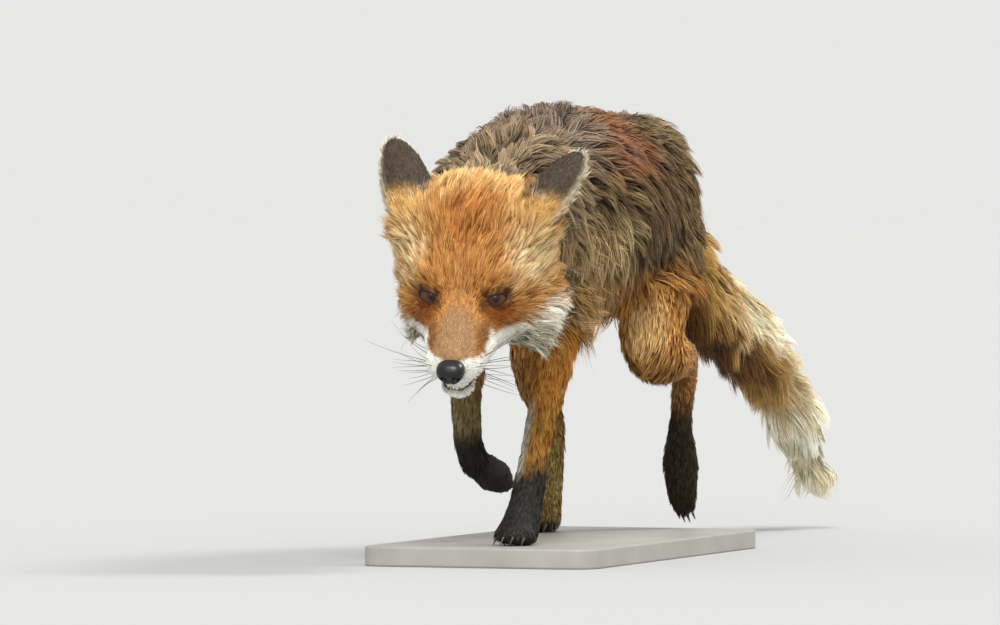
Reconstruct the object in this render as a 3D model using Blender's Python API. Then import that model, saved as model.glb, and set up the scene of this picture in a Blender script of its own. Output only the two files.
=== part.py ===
"""A still, life-size red fox walking with its head low, on a plain flat base.

The fox faces -Y and its left side is +X. Lengths are millimetres until the
meshes are written in metres. The flesh is one closed form at the tips of the
coat, blended from swept sections and parted by thin cuts into head, jaw, neck,
trunk, tail and legs. Ears, nose, eyes and claws are made on their own.
"""

import math

import bmesh
import bpy
from mathutils import Matrix, Vector

MM = 0.001
GAP = 0.3

# The base, whose underside is centred on the origin.
BASE_LENGTH = 440.0
BASE_WIDTH = 200.0
BASE_THICKNESS = 16.0
BASE_CORNER = 20.0
BASE_EDGE = 1.5

# The fox's own frame stands under its withers, on top of the base.
WITHERS_AHEAD_OF_CENTRE = 50.0
STAND_HEIGHT = BASE_THICKNESS + GAP

# The blended form: its grid, its smoothing and its number of triangles.
GRID = 2.5
FLOOR_SIZE = (300.0, 400.0, 40.0)
SMOOTH_TURNS = 14
BODY_TRIANGLES = 3780
RING_SIDES = 28
RINGS_PER_SPAN = 5
DOME_TURNS = (0.35, 0.7, 1.05, 1.35)
ACROSS = Vector((1, 0, 0))

# The head's frame lies midway between the eyes: forward along the muzzle,
# left and up.
HEAD_CENTRE = Vector((6.5, -211.0, 201.5))
HEAD_YAW = math.radians(7.0)
HEAD_PITCH = math.radians(41.0)
HEAD_ROLL = math.radians(3.0)

EYE_RADIUS = 9.0
EYE_SEGMENTS = 15
EYE_PLACE = Vector((-0.5, 26.0, 0.0))
SOCKET_REACH = 19.0
SOCKET_DEPTH = 5.0

NOSE_PLACE = Vector((67.0, 0.0, -19.5))
NOSE_RADII = (9.0, 11.5, 9.5)
NOSE_SQUARENESS = 0.85
NOSTRIL_PLACE = (7.0, 5.0, -1.0)
NOSTRIL_REACH = 4.0
NOSTRIL_DEPTH = 2.5

# The mouth's line in the head's frame: its corner, its slope and how far it
# stands open.
MOUTH_CORNER = Vector((12.0, 0.0, -40.0))
MOUTH_SLOPE = math.radians(8.0)
MOUTH_OPEN = math.radians(6.0)
MOUTH_HALF_LENGTH = 31.0
MOUTH_HALF_SIZE = (30.0, 31.0)
JAW_DEPTH = 40.0

EAR_BASE = Vector((-52.0, 43.0, 27.0))
EAR_LEFT_REACH = Vector((-87.0, 35.0, 12.0))
EAR_RIGHT_REACH = Vector((-86.0, -35.0, 20.0))
EAR_HALF_WIDTH = 24.0
EAR_WALL = 5.0
EAR_CUP = math.radians(68.0)
EAR_RINGS = 10
EAR_ARC_STEPS = 6

CLAW_REACH = 13.0
CLAW_RADIUS = 1.9
CLAW_BEND = math.radians(20.0)
CLAW_STATIONS = 3
CLAW_SIDES = 6

# Sections along the back: place, top, underside and half width.
TRUNK = (
    (-98, 312, 208, 46),
    (-60, 343, 180, 66),
    (0, 360, 172, 83),
    (65, 360, 178, 80),
    (135, 358, 187, 70),
    (205, 358, 203, 57),
    (255, 353, 216, 44),
    (290, 334, 226, 35),
    (316, 304, 240, 25),
)
TRUNK_KEEL = 0.12

# Sections along the head: place, top, underside and half width.
HEAD = (
    (-92, 42, -40, 56),
    (-72, 47, -54, 64),
    (-48, 46, -62, 68),
    (-24, 38, -62, 63),
    (-4, 26, -56, 49),
    (12, 13, -50, 36),
    (30, 2, -47, 26),
    (48, -5, -43, 22),
    (60, -9, -39, 18),
    (66, -11, -34, 13),
)
HEAD_KEEL = -0.1

# Swellings of the head, each a place and its radii in the head's frame. The
# first ones are on both sides: brows, sides of the muzzle and roots of the ears.
PAIRED_SWELLINGS = (
    ((-12, 24, 14), (17, 17, 9)),
    ((20, 17, -24), (28, 14, 17)),
    ((-56, 43, 22), (24, 17, 15)),
)
# Then the whisker pads, the cheeks and the ruffs below them, left and right.
SWELLINGS = (
    ((46, 11, -28), (19, 13.5, 12)),
    ((46, -13, -28), (19, 13.5, 12)),
    ((-42, 36, -30), (46, 38, 38)),
    ((-40, -31, -26), (42, 34, 36)),
    ((-30, 44, -46), (28, 22, 23)),
    ((-30, -42, -44), (26, 18, 21)),
)
SWELLING_SEGMENTS = 20

# The lower jaw in the head's frame: centre, half width and half depth.
JAW = (
    ((-20, 0, -48), 22, 13),
    ((22, 0, -48), 15, 10),
    ((52, -1.5, -52), 16, 9),
)

# Swept parts: centre, half width across the body and half depth.
NECK = (
    ((-8, -150, 248), 54, 46),
    ((-7, -110, 256), 60, 58),
    ((-3, -55, 270), 72, 74),
    ((0, -5, 276), 70, 72),
)
FORE_LEFT = (
    ((42, -30, 250), 24, 40),
    ((36, -58, 190), 20, 26),
    ((31, -70, 140), 16, 18),
    ((25, -83, 90), 13.5, 15),
    ((20, -91, 52), 13.5, 15),
    ((17, -97, 28), 15, 16),
    ((15, -104, 11), 17, 20),
)
FORE_RIGHT = (
    ((-42, -32, 250), 24, 40),
    ((-45, -62, 185), 19, 25),
    ((-41, -76, 130), 14, 16),
    ((-36, -87, 88), 13, 14),
    ((-34, -76, 67), 13, 13),
    ((-33, -54, 60), 15, 13),
    ((-33, -34, 54), 17, 14),
)
HIND_RIGHT = (
    ((-28, 250, 270), 24, 46),
    ((-38, 205, 232), 26, 52),
    ((-54, 130, 178), 20, 36),
    ((-60, 140, 130), 15, 24),
    ((-59, 184, 92), 11, 16),
    ((-58, 182, 50), 10.5, 12),
    ((-58, 168, 24), 14, 14),
    ((-58, 155, 11), 17, 20),
)
HIND_LEFT = (
    ((28, 250, 270), 24, 48),
    ((37, 186, 232), 27, 66),
    ((47, 128, 172), 26, 44),
    ((50, 150, 152), 20, 28),
    ((49, 186, 148), 17, 22),
    ((46, 226, 140), 12.5, 16),
    ((38, 238, 94), 10.5, 12),
    ((33, 252, 58), 17, 14),
    ((31, 262, 28), 15, 11),
)
TAIL = (
    ((0, 290, 284), 26, 32),
    ((2, 334, 240), 31, 38),
    ((4, 380, 204), 34, 42),
    ((8, 446, 178), 36, 40),
    ((14, 530, 142), 35, 36),
    ((19, 597, 98), 27, 28),
    ((22, 638, 60), 16, 17),
    ((22, 652, 36), 7, 8),
)
# Paws: where the toes grow, the turn about X from straight ahead in which they
# point, how far they reach and how far apart they lie.
PAWS = {
    "fore_left": ((15, -104, 9.0), 0.0, 24, 8.0),
    "fore_right": ((-33, -33, 52), math.radians(143), 19, 6.5),
    "hind_left": ((31, 262, 34), math.radians(104), 22, 4.6),
    "hind_right": ((-58, 153, 9.0), 0.0, 24, 8.0),
}
TOE_RADIUS = 7.5
TOE_STEP = 0.6
TOE_TIP = 0.8
TOES = 4

# Cuts in their order, each of which takes a piece off what is left: a point on
# the cut, the way into the piece, and the half sizes and length of its box.
CUTS = (
    ("tail_tip", (22, 588, 106), (0.05, 0.72, -0.69), (80, 75, 160)),
    ("tail", (1, 308, 262), (0.0, 0.8, -0.6), (70, 90, 420)),
    ("fore_left_paw", (20, -91, 46), (0.0, 0.0, -1.0), (34, 60, 80)),
    ("fore_left_forearm", (34, -66, 145), (0.0, 0.0, -1.0), (36, 60, 130)),
    ("fore_left_arm", (38, -64, 181), (0.0, -0.35, -1.0), (30, 36, 60)),
    ("fore_right_paw", (-35, -74, 66), (0.0, 0.95, -0.31), (40, 40, 110)),
    ("fore_right_forearm", (-43, -60, 142), (0.0, 0.0, -1.0), (36, 60, 120)),
    ("fore_right_arm", (-43, -64, 181), (0.0, -0.35, -1.0), (30, 36, 60)),
    ("hind_left_paw", (44, 240, 120), (0.0, 0.0, -1.0), (50, 60, 130)),
    ("hind_left_shank", (49, 168, 130), (0.0, 1.0, 0.0), (44, 47, 130)),
    ("hind_left_thigh", (50, 184, 216), (0.1, 0.0, -1.0), (46, 116, 110)),
    ("hind_right_paw", (-58, 170, 70), (0.0, 0.0, -1.0), (40, 70, 100)),
    ("hind_right_shank", (-52, 165, 148), (0.0, 0.0, -1.0), (40, 75, 110)),
    ("hind_right_thigh", (-50, 180, 216), (-0.1, 0.0, -1.0), (46, 112, 110)),
)

COLOURS = {
    "coat_red": (0.42, 0.19, 0.06),
    "coat_grey": (0.19, 0.14, 0.09),
    "coat_cream": (0.62, 0.50, 0.27),
    "coat_black": (0.02, 0.018, 0.015),
    "leather_black": (0.015, 0.015, 0.018),
    "horn_dark": (0.03, 0.025, 0.02),
    "eye_amber": (0.12, 0.04, 0.01),
    "base_grey": (0.30, 0.29, 0.27),
}


def head_matrix():
    """Head frame to fox frame: forward, left and up become its columns."""
    upright = Matrix(((0, 1, 0), (-1, 0, 0), (0, 0, 1))).to_4x4()
    turn = Matrix.Rotation(HEAD_YAW, 4, "Z")
    nod = Matrix.Rotation(HEAD_PITCH, 4, "X")
    lean = Matrix.Rotation(HEAD_ROLL, 4, "Y")
    return Matrix.Translation(HEAD_CENTRE) @ turn @ nod @ lean @ upright


def in_head(forward, left, up):
    """The place in the fox's frame of a point of the head's frame."""
    return head_matrix() @ Vector((forward, left, up))


def smooth_run(stations, steps):
    """Rows of numbers read off Catmull-Rom curves through the stations."""
    rows = [stations[0], *stations, stations[-1]]
    run = []
    for i in range(len(stations) - 1):
        for k in range(steps):
            t = k / steps
            run.append([between(t, *values) for values in zip(*rows[i : i + 4])])
    run.append(list(stations[-1]))
    return run


def between(t, before, start, end, after):
    """One number of a Catmull-Rom curve, t of the way from start to end."""
    slope = end - before
    bend = 2 * before - 5 * start + 4 * end - after
    twist = 3 * start - before - 3 * end + after
    return start + 0.5 * (slope * t + bend * t**2 + twist * t**3)


def add_rings(bm, rings):
    """Joins closed rings of points into a tube and closes its ends."""
    loops = [[bm.verts.new(p) for p in ring] for ring in rings]
    sides = len(loops[0])
    for low, high in zip(loops, loops[1:]):
        for k in range(sides):
            j = (k + 1) % sides
            bm.faces.new((low[k], low[j], high[j], high[k]))
    bm.faces.new(loops[0][::-1])
    bm.faces.new(loops[-1])


def oval(centre, side, depth, sides):
    """A ring of points round the centre."""
    turns = [2 * math.pi * k / sides for k in range(sides)]
    return [centre + side * math.cos(t) + depth * math.sin(t) for t in turns]


def dome(ring, centre, reach, turns):
    """Rings that close a tube's end in a quarter round."""
    rings = []
    for turn in turns:
        rise = centre + reach * math.sin(turn)
        rings.append([rise + (p - centre) * math.cos(turn) for p in ring])
    return rings


def add_sweep(bm, stations, across=ACROSS, sides=RING_SIDES, steps=RINGS_PER_SPAN, turns=DOME_TURNS):
    """Sweeps an oval along stations and rounds its ends."""
    flat = [(*centre, width, depth) for centre, width, depth in stations]
    run = smooth_run(flat, steps)
    centres = [Vector(row[:3]) for row in run]
    last = len(run) - 1
    rings = []
    for i, row in enumerate(run):
        along = (centres[min(i + 1, last)] - centres[max(i - 1, 0)]).normalized()
        side = (across - across.project(along)).normalized()
        rings.append(oval(centres[i], side * row[3], along.cross(side) * row[4], sides))
    out = (centres[0] - centres[1]).normalized() * min(run[0][3:])
    start = dome(rings[0], centres[0], out, turns)[::-1]
    out = (centres[-1] - centres[-2]).normalized() * min(run[-1][3:])
    end = dome(rings[-1], centres[-1], out, turns)
    add_rings(bm, start + rings + end)


def add_sections(bm, sections, place, keel):
    """Lofts sections of place, top, underside and half width along an axis."""
    rings = []
    for along, top, under, half in smooth_run(sections, RINGS_PER_SPAN):
        ring = []
        for k in range(RING_SIDES):
            turn = 2 * math.pi * k / RING_SIDES
            rise = math.sin(turn)
            width = half * math.cos(turn) * (1 + keel * rise)
            height = (top + under) / 2 + (top - under) / 2 * rise
            ring.append(place(along, width, height))
        rings.append(ring)
    add_rings(bm, rings)


def add_ball(bm, place, radii, segments):
    """An ellipsoid in the head's frame, as bmesh vertices."""
    turn = head_matrix().to_3x3().to_4x4()
    matrix = Matrix.Translation(in_head(*place)) @ turn @ Matrix.Diagonal((*radii, 1))
    rows = segments * 3 // 5
    made = bmesh.ops.create_uvsphere(
        bm, u_segments=segments, v_segments=rows, radius=1.0, matrix=matrix
    )
    return made["verts"]


def add_head(bm):
    """Skull and muzzle, brows, cheeks, whisker pads and lower jaw."""
    add_sections(bm, HEAD, in_head, HEAD_KEEL)
    for (forward, left, up), radii in PAIRED_SWELLINGS:
        for side in (-1, 1):
            add_ball(bm, (forward, side * left, up), radii, SWELLING_SEGMENTS)
    for place, radii in SWELLINGS:
        add_ball(bm, place, radii, SWELLING_SEGMENTS)
    jaw = [(tuple(in_head(*place)), width, depth) for place, width, depth in JAW]
    add_sweep(bm, jaw, head_matrix().col[1].to_3d())


def paw_frame(name):
    """Where a paw's toes grow: ahead is its -Y and the back of it its +Z."""
    place, turn = PAWS[name][:2]
    return Matrix.Translation(Vector(place)) @ Matrix.Rotation(turn, 4, "X")


def toe_places(name):
    """The middle and the tip of each toe, the inner two reaching farthest."""
    frame = paw_frame(name)
    reach, spread = PAWS[name][2:]
    for k in range(TOES):
        aside = (k - (TOES - 1) / 2) * spread
        ahead = reach - abs(aside) * TOE_STEP
        yield frame @ Vector((aside, -ahead * 0.5, 1.0)), frame @ Vector((aside, -ahead, -1.0))


def add_toes(bm, name):
    """Rounded toes along the front of a paw."""
    for middle, tip in toe_places(name):
        start = (tuple(middle), TOE_RADIUS, TOE_RADIUS)
        end = (tuple(tip), TOE_TIP * TOE_RADIUS, TOE_TIP * TOE_RADIUS)
        add_sweep(bm, (start, end))


def build_flesh():
    """The whole body as one closed mesh at the tips of the coat."""
    bm = bmesh.new()
    add_sections(bm, TRUNK, lambda y, x, z: Vector((x, y, z)), TRUNK_KEEL)
    for limb in (NECK, FORE_LEFT, FORE_RIGHT, HIND_RIGHT, HIND_LEFT, TAIL):
        add_sweep(bm, limb)
    add_head(bm)
    for name in PAWS:
        add_toes(bm, name)
    bmesh.ops.recalc_face_normals(bm, faces=bm.faces)
    return mesh_object("flesh", bm)


def blend(shape):
    """Joins the overlapping forms into one skin and rounds their meetings."""
    remesh = shape.modifiers.new("skin", "REMESH")
    remesh.mode = "VOXEL"
    remesh.voxel_size = GRID * MM
    smooth = shape.modifiers.new("round", "SMOOTH")
    smooth.iterations = SMOOTH_TURNS
    smooth.factor = 0.5
    apply_modifiers(shape)


def press(shape, place, reach, push):
    """Moves the surface near a point by a push that fades out with distance."""
    for vertex in shape.data.vertices:
        away = (vertex.co - place).length / reach
        if away < 1:
            vertex.co += push * (1 - away * away) ** 2


def shape_face(shape):
    """Hollows round the eyes, under the brows and beside the muzzle."""
    world = world_matrix()
    turn = head_matrix().to_3x3()
    for side in (-1, 1):
        eye = world @ in_head(EYE_PLACE.x + 8, side * EYE_PLACE.y, EYE_PLACE.z)
        push = turn @ Vector((-1, 0, -0.2)) * SOCKET_DEPTH * MM
        press(shape, eye, SOCKET_REACH * MM, push)


def flatten_soles(shape):
    """Cuts off what would reach below the soles' level."""
    floor = cutting_box((0, 0, 0), (0, 0, -1), FLOOR_SIZE, 0.0)
    combine(shape, floor, "DIFFERENCE")
    bpy.data.objects.remove(floor)


def thin(shape, triangles):
    """Merges faces until about this many triangles are left."""
    now = sum(len(p.vertices) - 2 for p in shape.data.polygons)
    decimate = shape.modifiers.new("thin", "DECIMATE")
    decimate.ratio = triangles / now
    apply_modifiers(shape)


def world_matrix():
    """Fox frame in millimetres to the world in metres."""
    place = Matrix.Translation((0, -WITHERS_AHEAD_OF_CENTRE, STAND_HEIGHT))
    return Matrix.Scale(MM, 4) @ place


def mesh_object(name, bm):
    """Writes a mesh of the fox's frame as an object of the world."""
    bm.transform(world_matrix())
    mesh = bpy.data.meshes.new(name)
    bm.to_mesh(mesh)
    bm.free()
    shape = bpy.data.objects.new(name, mesh)
    bpy.context.collection.objects.link(shape)
    return shape


def apply_modifiers(shape):
    """Replaces an object's mesh by the one its modifiers give."""
    bpy.context.view_layer.update()
    seen = shape.evaluated_get(bpy.context.evaluated_depsgraph_get())
    shape.data = bpy.data.meshes.new_from_object(seen)
    shape.modifiers.clear()


def copy_of(shape, name):
    """The same mesh under another name."""
    twin = bpy.data.objects.new(name, shape.data.copy())
    bpy.context.collection.objects.link(twin)
    return twin


def combine(shape, other, operation):
    """Cuts a shape by another with an exact Boolean."""
    boolean = shape.modifiers.new(operation.lower(), "BOOLEAN")
    boolean.operation = operation
    boolean.object = other
    boolean.solver = "EXACT"
    apply_modifiers(shape)


def swell(shape, name):
    """A copy that stands out all round by the gap between pieces."""
    twin = copy_of(shape, name)
    grow = twin.modifiers.new("grow", "DISPLACE")
    grow.mid_level = 0.0
    grow.strength = GAP * MM
    apply_modifiers(twin)
    return twin


def cutting_box(point, way, size, spare):
    """A box that starts at a point and runs along a way, bigger all round by spare."""
    half_x, half_y, length = size
    bm = bmesh.new()
    bmesh.ops.create_cube(bm, size=2.0)
    scale = Matrix.Diagonal((half_x + spare, half_y + spare, length / 2 + spare, 1))
    ahead = Vector(way).normalized()
    side = (Vector((1, 0, 0)) - Vector((1, 0, 0)).project(ahead)).normalized()
    turn = Matrix((side, ahead.cross(side), ahead)).transposed().to_4x4()
    middle = Vector(point) + ahead * length / 2
    bm.transform(Matrix.Translation(middle) @ turn @ scale)
    return mesh_object("cutter", bm)


def part_off(flesh, name, point, way, size):
    """Makes a new piece of what a box holds of the flesh."""
    inside = cutting_box(point, way, size, 0.0)
    outside = cutting_box(point, way, size, GAP)
    piece = copy_of(flesh, name)
    combine(piece, inside, "INTERSECT")
    combine(flesh, outside, "DIFFERENCE")
    bpy.data.objects.remove(inside)
    bpy.data.objects.remove(outside)
    return piece


def mouth_box(slope, up, height):
    """A box from the mouth's line forward, on its upper or its lower side."""
    turn = head_matrix().to_3x3() @ Matrix.Rotation(slope, 3, "Y")
    middle = in_head(*MOUTH_CORNER) + turn @ Vector((MOUTH_HALF_LENGTH, 0, 0))
    return middle, turn @ Vector((0, 0, up)), (*MOUTH_HALF_SIZE, height)


def open_mouth(jaw):
    """Takes a wedge off the jaw's upper side, which opens the mouth."""
    wedge = cutting_box(*mouth_box(MOUTH_SLOPE + MOUTH_OPEN, 1, JAW_DEPTH), 0.0)
    combine(jaw, wedge, "DIFFERENCE")
    bpy.data.objects.remove(wedge)


def head_cuts():
    """The cuts that free the jaw, the head and the neck."""
    turn = head_matrix().to_3x3()
    yield "jaw", *mouth_box(MOUTH_SLOPE, -1, JAW_DEPTH)
    yield "head", in_head(-84, 0, -10), turn @ Vector((1, 0, 0.12)), (92, 84, 190)
    yield "neck", (-5, -78, 262), (0, -1, -0.12), (95, 88, 110)


def ear_rings(base, reach, side):
    """Closed rings of a cupped ear, its hollow turned outward and down."""
    along = reach.normalized()
    back = Vector((0.3, -0.2 * side, 0.9))
    back = (back - back.project(along)).normalized()
    across = along.cross(back)
    rings = []
    for k in range(EAR_RINGS + 1):
        s = k / EAR_RINGS
        half = EAR_HALF_WIDTH * min(0.7 + 1.5 * s, 1.0) * max(0.12, (1 - s**3.2) ** 0.62)
        outer = half / math.sin(EAR_CUP)
        inner = outer - min(EAR_WALL * (1 - 0.35 * s), 0.6 * outer)
        hub = base + reach * s - back * outer * math.cos(EAR_CUP)
        turns = [EAR_CUP * (2 * j / EAR_ARC_STEPS - 1) for j in range(EAR_ARC_STEPS + 1)]
        ring = [hub + (across * math.sin(t) + back * math.cos(t)) * outer for t in turns]
        ring += [hub + (across * math.sin(t) + back * math.cos(t)) * inner for t in turns[::-1]]
        rings.append([head_matrix() @ p for p in ring])
    return rings


def make_ear(name, side, reach):
    """One ear, standing on the back corner of the head."""
    base = Vector((EAR_BASE.x, side * EAR_BASE.y, EAR_BASE.z))
    bm = bmesh.new()
    add_rings(bm, ear_rings(base, reach, side))
    bmesh.ops.recalc_face_normals(bm, faces=bm.faces)
    return mesh_object(name, bm)


def make_ball(name, place, radii, segments):
    """A ball of the head's frame as an object of its own."""
    bm = bmesh.new()
    add_ball(bm, place, radii, segments)
    return mesh_object(name, bm)


def make_nose():
    """The nose pad: a ball squared off, with a dent for each nostril."""
    bm = bmesh.new()
    bmesh.ops.create_uvsphere(bm, u_segments=18, v_segments=12, radius=1.0)
    for vertex in bm.verts:
        x, y, z = (math.copysign(abs(c) ** NOSE_SQUARENESS, c) for c in vertex.co)
        narrow = 1 - 0.16 * max(-z, 0)
        vertex.co = Vector((x * NOSE_RADII[0], y * NOSE_RADII[1] * narrow, z * NOSE_RADII[2]))
        for side in (-1, 1):
            hole = Vector((NOSTRIL_PLACE[0], side * NOSTRIL_PLACE[1], NOSTRIL_PLACE[2]))
            away = (vertex.co - hole).length / NOSTRIL_REACH
            if away < 1:
                vertex.co.x -= NOSTRIL_DEPTH * (1 - away * away)
    bm.transform(head_matrix() @ Matrix.Translation(NOSE_PLACE))
    return mesh_object("nose", bm)


def make_claw(name, middle, tip, down):
    """A short horn curving down from the end of a toe."""
    ahead = (tip - middle).normalized()
    stations = []
    for k in range(CLAW_STATIONS):
        part = k / (CLAW_STATIONS - 1)
        bend = CLAW_BEND * part
        place = tip + (ahead * math.cos(bend) + down * math.sin(bend)) * CLAW_REACH * part
        radius = CLAW_RADIUS * (1 - 0.8 * part)
        stations.append((tuple(place), radius, radius * 1.3))
    bm = bmesh.new()
    add_sweep(bm, stations, sides=CLAW_SIDES, steps=1, turns=(0.8,))
    bmesh.ops.recalc_face_normals(bm, faces=bm.faces)
    return mesh_object(name, bm)


def make_base():
    """A plain flat plate with rounded corners and softened edges."""
    bm = bmesh.new()
    bmesh.ops.create_cube(bm, size=1.0)
    bmesh.ops.scale(bm, vec=(BASE_WIDTH, BASE_LENGTH, BASE_THICKNESS), verts=bm.verts)
    upright = [e for e in bm.edges if abs(e.verts[0].co.z - e.verts[1].co.z) > 1]
    bmesh.ops.bevel(
        bm, geom=upright, offset=BASE_CORNER, segments=6, profile=0.5, affect="EDGES"
    )
    rims = [e for e in bm.edges if abs(e.verts[0].co.z - e.verts[1].co.z) < 1]
    bmesh.ops.bevel(bm, geom=rims, offset=BASE_EDGE, segments=2, profile=0.5, affect="EDGES")
    centre = (0, WITHERS_AHEAD_OF_CENTRE, -GAP - BASE_THICKNESS / 2)
    bmesh.ops.translate(bm, vec=centre, verts=bm.verts)
    return mesh_object("stand_base", bm)


def make_claws(skin):
    """Four claws on each paw, each ending where its toe's coat begins."""
    claws = {}
    for paw in PAWS:
        down = paw_frame(paw).to_3x3() @ Vector((0, 0, -1))
        for k, (middle, tip) in enumerate(toe_places(paw)):
            name = f"claw_{paw}_{k + 1}"
            claws[name] = make_claw(name, middle, tip, down)
            combine(claws[name], skin, "DIFFERENCE")
    return claws


def paint(shape, colour, roughness):
    """Gives a piece its own material."""
    material = bpy.data.materials.new(shape.name)
    material.use_nodes = True
    surface = material.node_tree.nodes["Principled BSDF"]
    surface.inputs["Base Color"].default_value = (*COLOURS[colour], 1.0)
    surface.inputs["Roughness"].default_value = roughness
    surface.inputs["Metallic"].default_value = 0.0
    shape.data.materials.clear()
    shape.data.materials.append(material)


def colour_of(name):
    """Which colour and roughness a piece has."""
    if name.startswith("claw"):
        return "horn_dark", 0.4
    if name.startswith("eye"):
        return "eye_amber", 0.05
    if name.endswith("paw"):
        return "coat_black", 0.85
    if name in ("neck", "trunk"):
        return "coat_grey", 0.85
    if name.startswith("tail"):
        return "coat_cream", 0.85
    if name.startswith("ear"):
        return "coat_black", 0.85
    named = {"nose": ("leather_black", 0.35), "stand_base": ("base_grey", 0.6)}
    return named.get(name, ("coat_red", 0.85))


def main():
    for old in list(bpy.data.objects):
        bpy.data.objects.remove(old)
    flesh = build_flesh()
    flesh.name = "trunk"
    blend(flesh)
    shape_face(flesh)
    thin(flesh, BODY_TRIANGLES)
    flatten_soles(flesh)

    skin = swell(flesh, "skin_guide")
    pieces = make_claws(skin)
    pieces["ear_left"] = make_ear("ear_left", 1, EAR_LEFT_REACH)
    pieces["ear_right"] = make_ear("ear_right", -1, EAR_RIGHT_REACH)
    pieces["nose"] = make_nose()
    for name in ("ear_left", "ear_right", "nose"):
        combine(pieces[name], skin, "DIFFERENCE")
    bpy.data.objects.remove(skin)

    for name, side in (("eye_left", 1), ("eye_right", -1)):
        place = (EYE_PLACE.x, side * EYE_PLACE.y, EYE_PLACE.z)
        pieces[name] = make_ball(name, place, (EYE_RADIUS,) * 3, EYE_SEGMENTS)
        socket = make_ball("socket", place, (EYE_RADIUS + GAP,) * 3, EYE_SEGMENTS)
        combine(flesh, socket, "DIFFERENCE")
        bpy.data.objects.remove(socket)

    for name, point, way, size in (*CUTS, *head_cuts()):
        pieces[name] = part_off(flesh, name, point, way, size)
    open_mouth(pieces["jaw"])
    pieces["trunk"] = flesh
    pieces["stand_base"] = make_base()
    for name, shape in pieces.items():
        paint(shape, *colour_of(name))


main()
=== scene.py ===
"""The looks of a still, life-size red fox that walks with its head low, on a plain flat base.

One skin replaces the nodes of flesh and lies inside them by the coat's depth. The coat is solid mesh: tapered
strands, drawn together in tufts, that follow the lie of the hair. Shapes are worked out in millimetres in the
fox's own frame, which stands under its withers on top of the base: it faces -Y and its left side is +X.
"""

import math

import bmesh
import bpy
import numpy as np
from mathutils import Matrix, Vector
from mathutils.bvhtree import BVHTree


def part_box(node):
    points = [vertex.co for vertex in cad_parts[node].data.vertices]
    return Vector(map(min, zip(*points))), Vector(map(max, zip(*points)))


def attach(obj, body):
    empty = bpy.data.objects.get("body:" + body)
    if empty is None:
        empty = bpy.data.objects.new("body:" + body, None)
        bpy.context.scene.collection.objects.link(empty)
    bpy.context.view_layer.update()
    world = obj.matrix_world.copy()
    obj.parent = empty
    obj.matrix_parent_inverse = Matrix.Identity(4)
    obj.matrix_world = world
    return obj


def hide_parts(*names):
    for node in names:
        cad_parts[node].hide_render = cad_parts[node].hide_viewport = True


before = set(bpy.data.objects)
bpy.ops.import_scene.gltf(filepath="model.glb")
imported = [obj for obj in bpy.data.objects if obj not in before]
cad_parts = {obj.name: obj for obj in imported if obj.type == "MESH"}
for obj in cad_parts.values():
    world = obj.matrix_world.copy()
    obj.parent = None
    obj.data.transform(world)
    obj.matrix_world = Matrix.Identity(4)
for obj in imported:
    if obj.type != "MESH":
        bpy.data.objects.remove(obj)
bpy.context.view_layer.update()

MM = 0.001
# The pads stand this far above the base.
GAP = 0.3
BASE_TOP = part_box("stand_base")[1].z / MM
WITHERS = Vector((0.0, -50.0, BASE_TOP + GAP))

# The skin's grid, how far the cut pieces swell to close the cuts between them, and how many turns round the
# skin before and after it is drawn in.
GRID = 2.5
CLOSING = 0.35
FIRST_ROUNDING = 6
LAST_ROUNDING = 5

# The angle at which the nose lies below the head's forward way, the eyeballs' radius, and how far closed lids
# stand beyond it.
FACE_FORWARD = math.atan2(19.5, 67.5)
EYE_RADIUS = 9.0
LID_SWELL = 0.6

SIDES = ((1, "left"), (-1, "right"))
PAWS = [f"{leg}_{side}" for leg in ("fore", "hind") for _, side in SIDES]

# For each node of flesh, in millimetres and degrees: how deep the coat is, how long its hair is, how far it
# stands off the skin, how wide its tufts are, how closely a tuft draws together and how far its hair waves.
FIELDS = ("depth", "length", "lift", "tuft", "gather", "wave")
EAR_COAT = (0.7, 5.0, 11.0, 2.2, 0.35, 0.1)
LEG_COAT = {
    "fore": {
        "arm": (4.5, 19.0, 13.0, 6.0, 0.60, 0.9),
        "forearm": (2.0, 10.0, 10.0, 4.0, 0.50, 0.4),
        "paw": (1.5, 6.5, 10.0, 3.0, 0.45, 0.2),
    },
    "hind": {
        "thigh": (3.5, 14.0, 11.0, 5.0, 0.55, 0.7),
        "shank": (2.2, 10.0, 10.0, 4.0, 0.50, 0.4),
        "paw": (1.6, 8.0, 11.0, 3.5, 0.45, 0.3),
    },
}
# The head's coat changes from face to ruff: coat_depth and coat_fields work it out.
COAT = {
    "head": (0.0,) * len(FIELDS),
    "jaw": (1.6, 5.0, 14.0, 2.2, 0.45, 0.2),
    "ear_left": EAR_COAT,
    "ear_right": EAR_COAT,
    "neck": (13.0, 42.0, 21.0, 8.0, 0.86, 4.0),
    "trunk": (13.0, 44.0, 17.0, 8.0, 0.82, 4.0),
    "tail": (19.0, 52.0, 17.0, 9.0, 0.66, 2.6),
    "tail_tip": (15.0, 56.0, 10.0, 9.0, 0.86, 3.0),
}
for leg, parts in LEG_COAT.items():
    for _, side in SIDES:
        COAT |= {f"{leg}_{side}_{part}": row for part, row in parts.items()}
# The lifted paw's hair stands a little further off.
COAT["fore_right_paw"] = (1.5, 6.5, 12.0, 3.0, 0.45, 0.2)
FLESH = list(COAT)
FORELEGS, HINDLEGS = ([name for name in FLESH if name.startswith(leg)] for leg in ("fore", "hind"))

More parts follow.
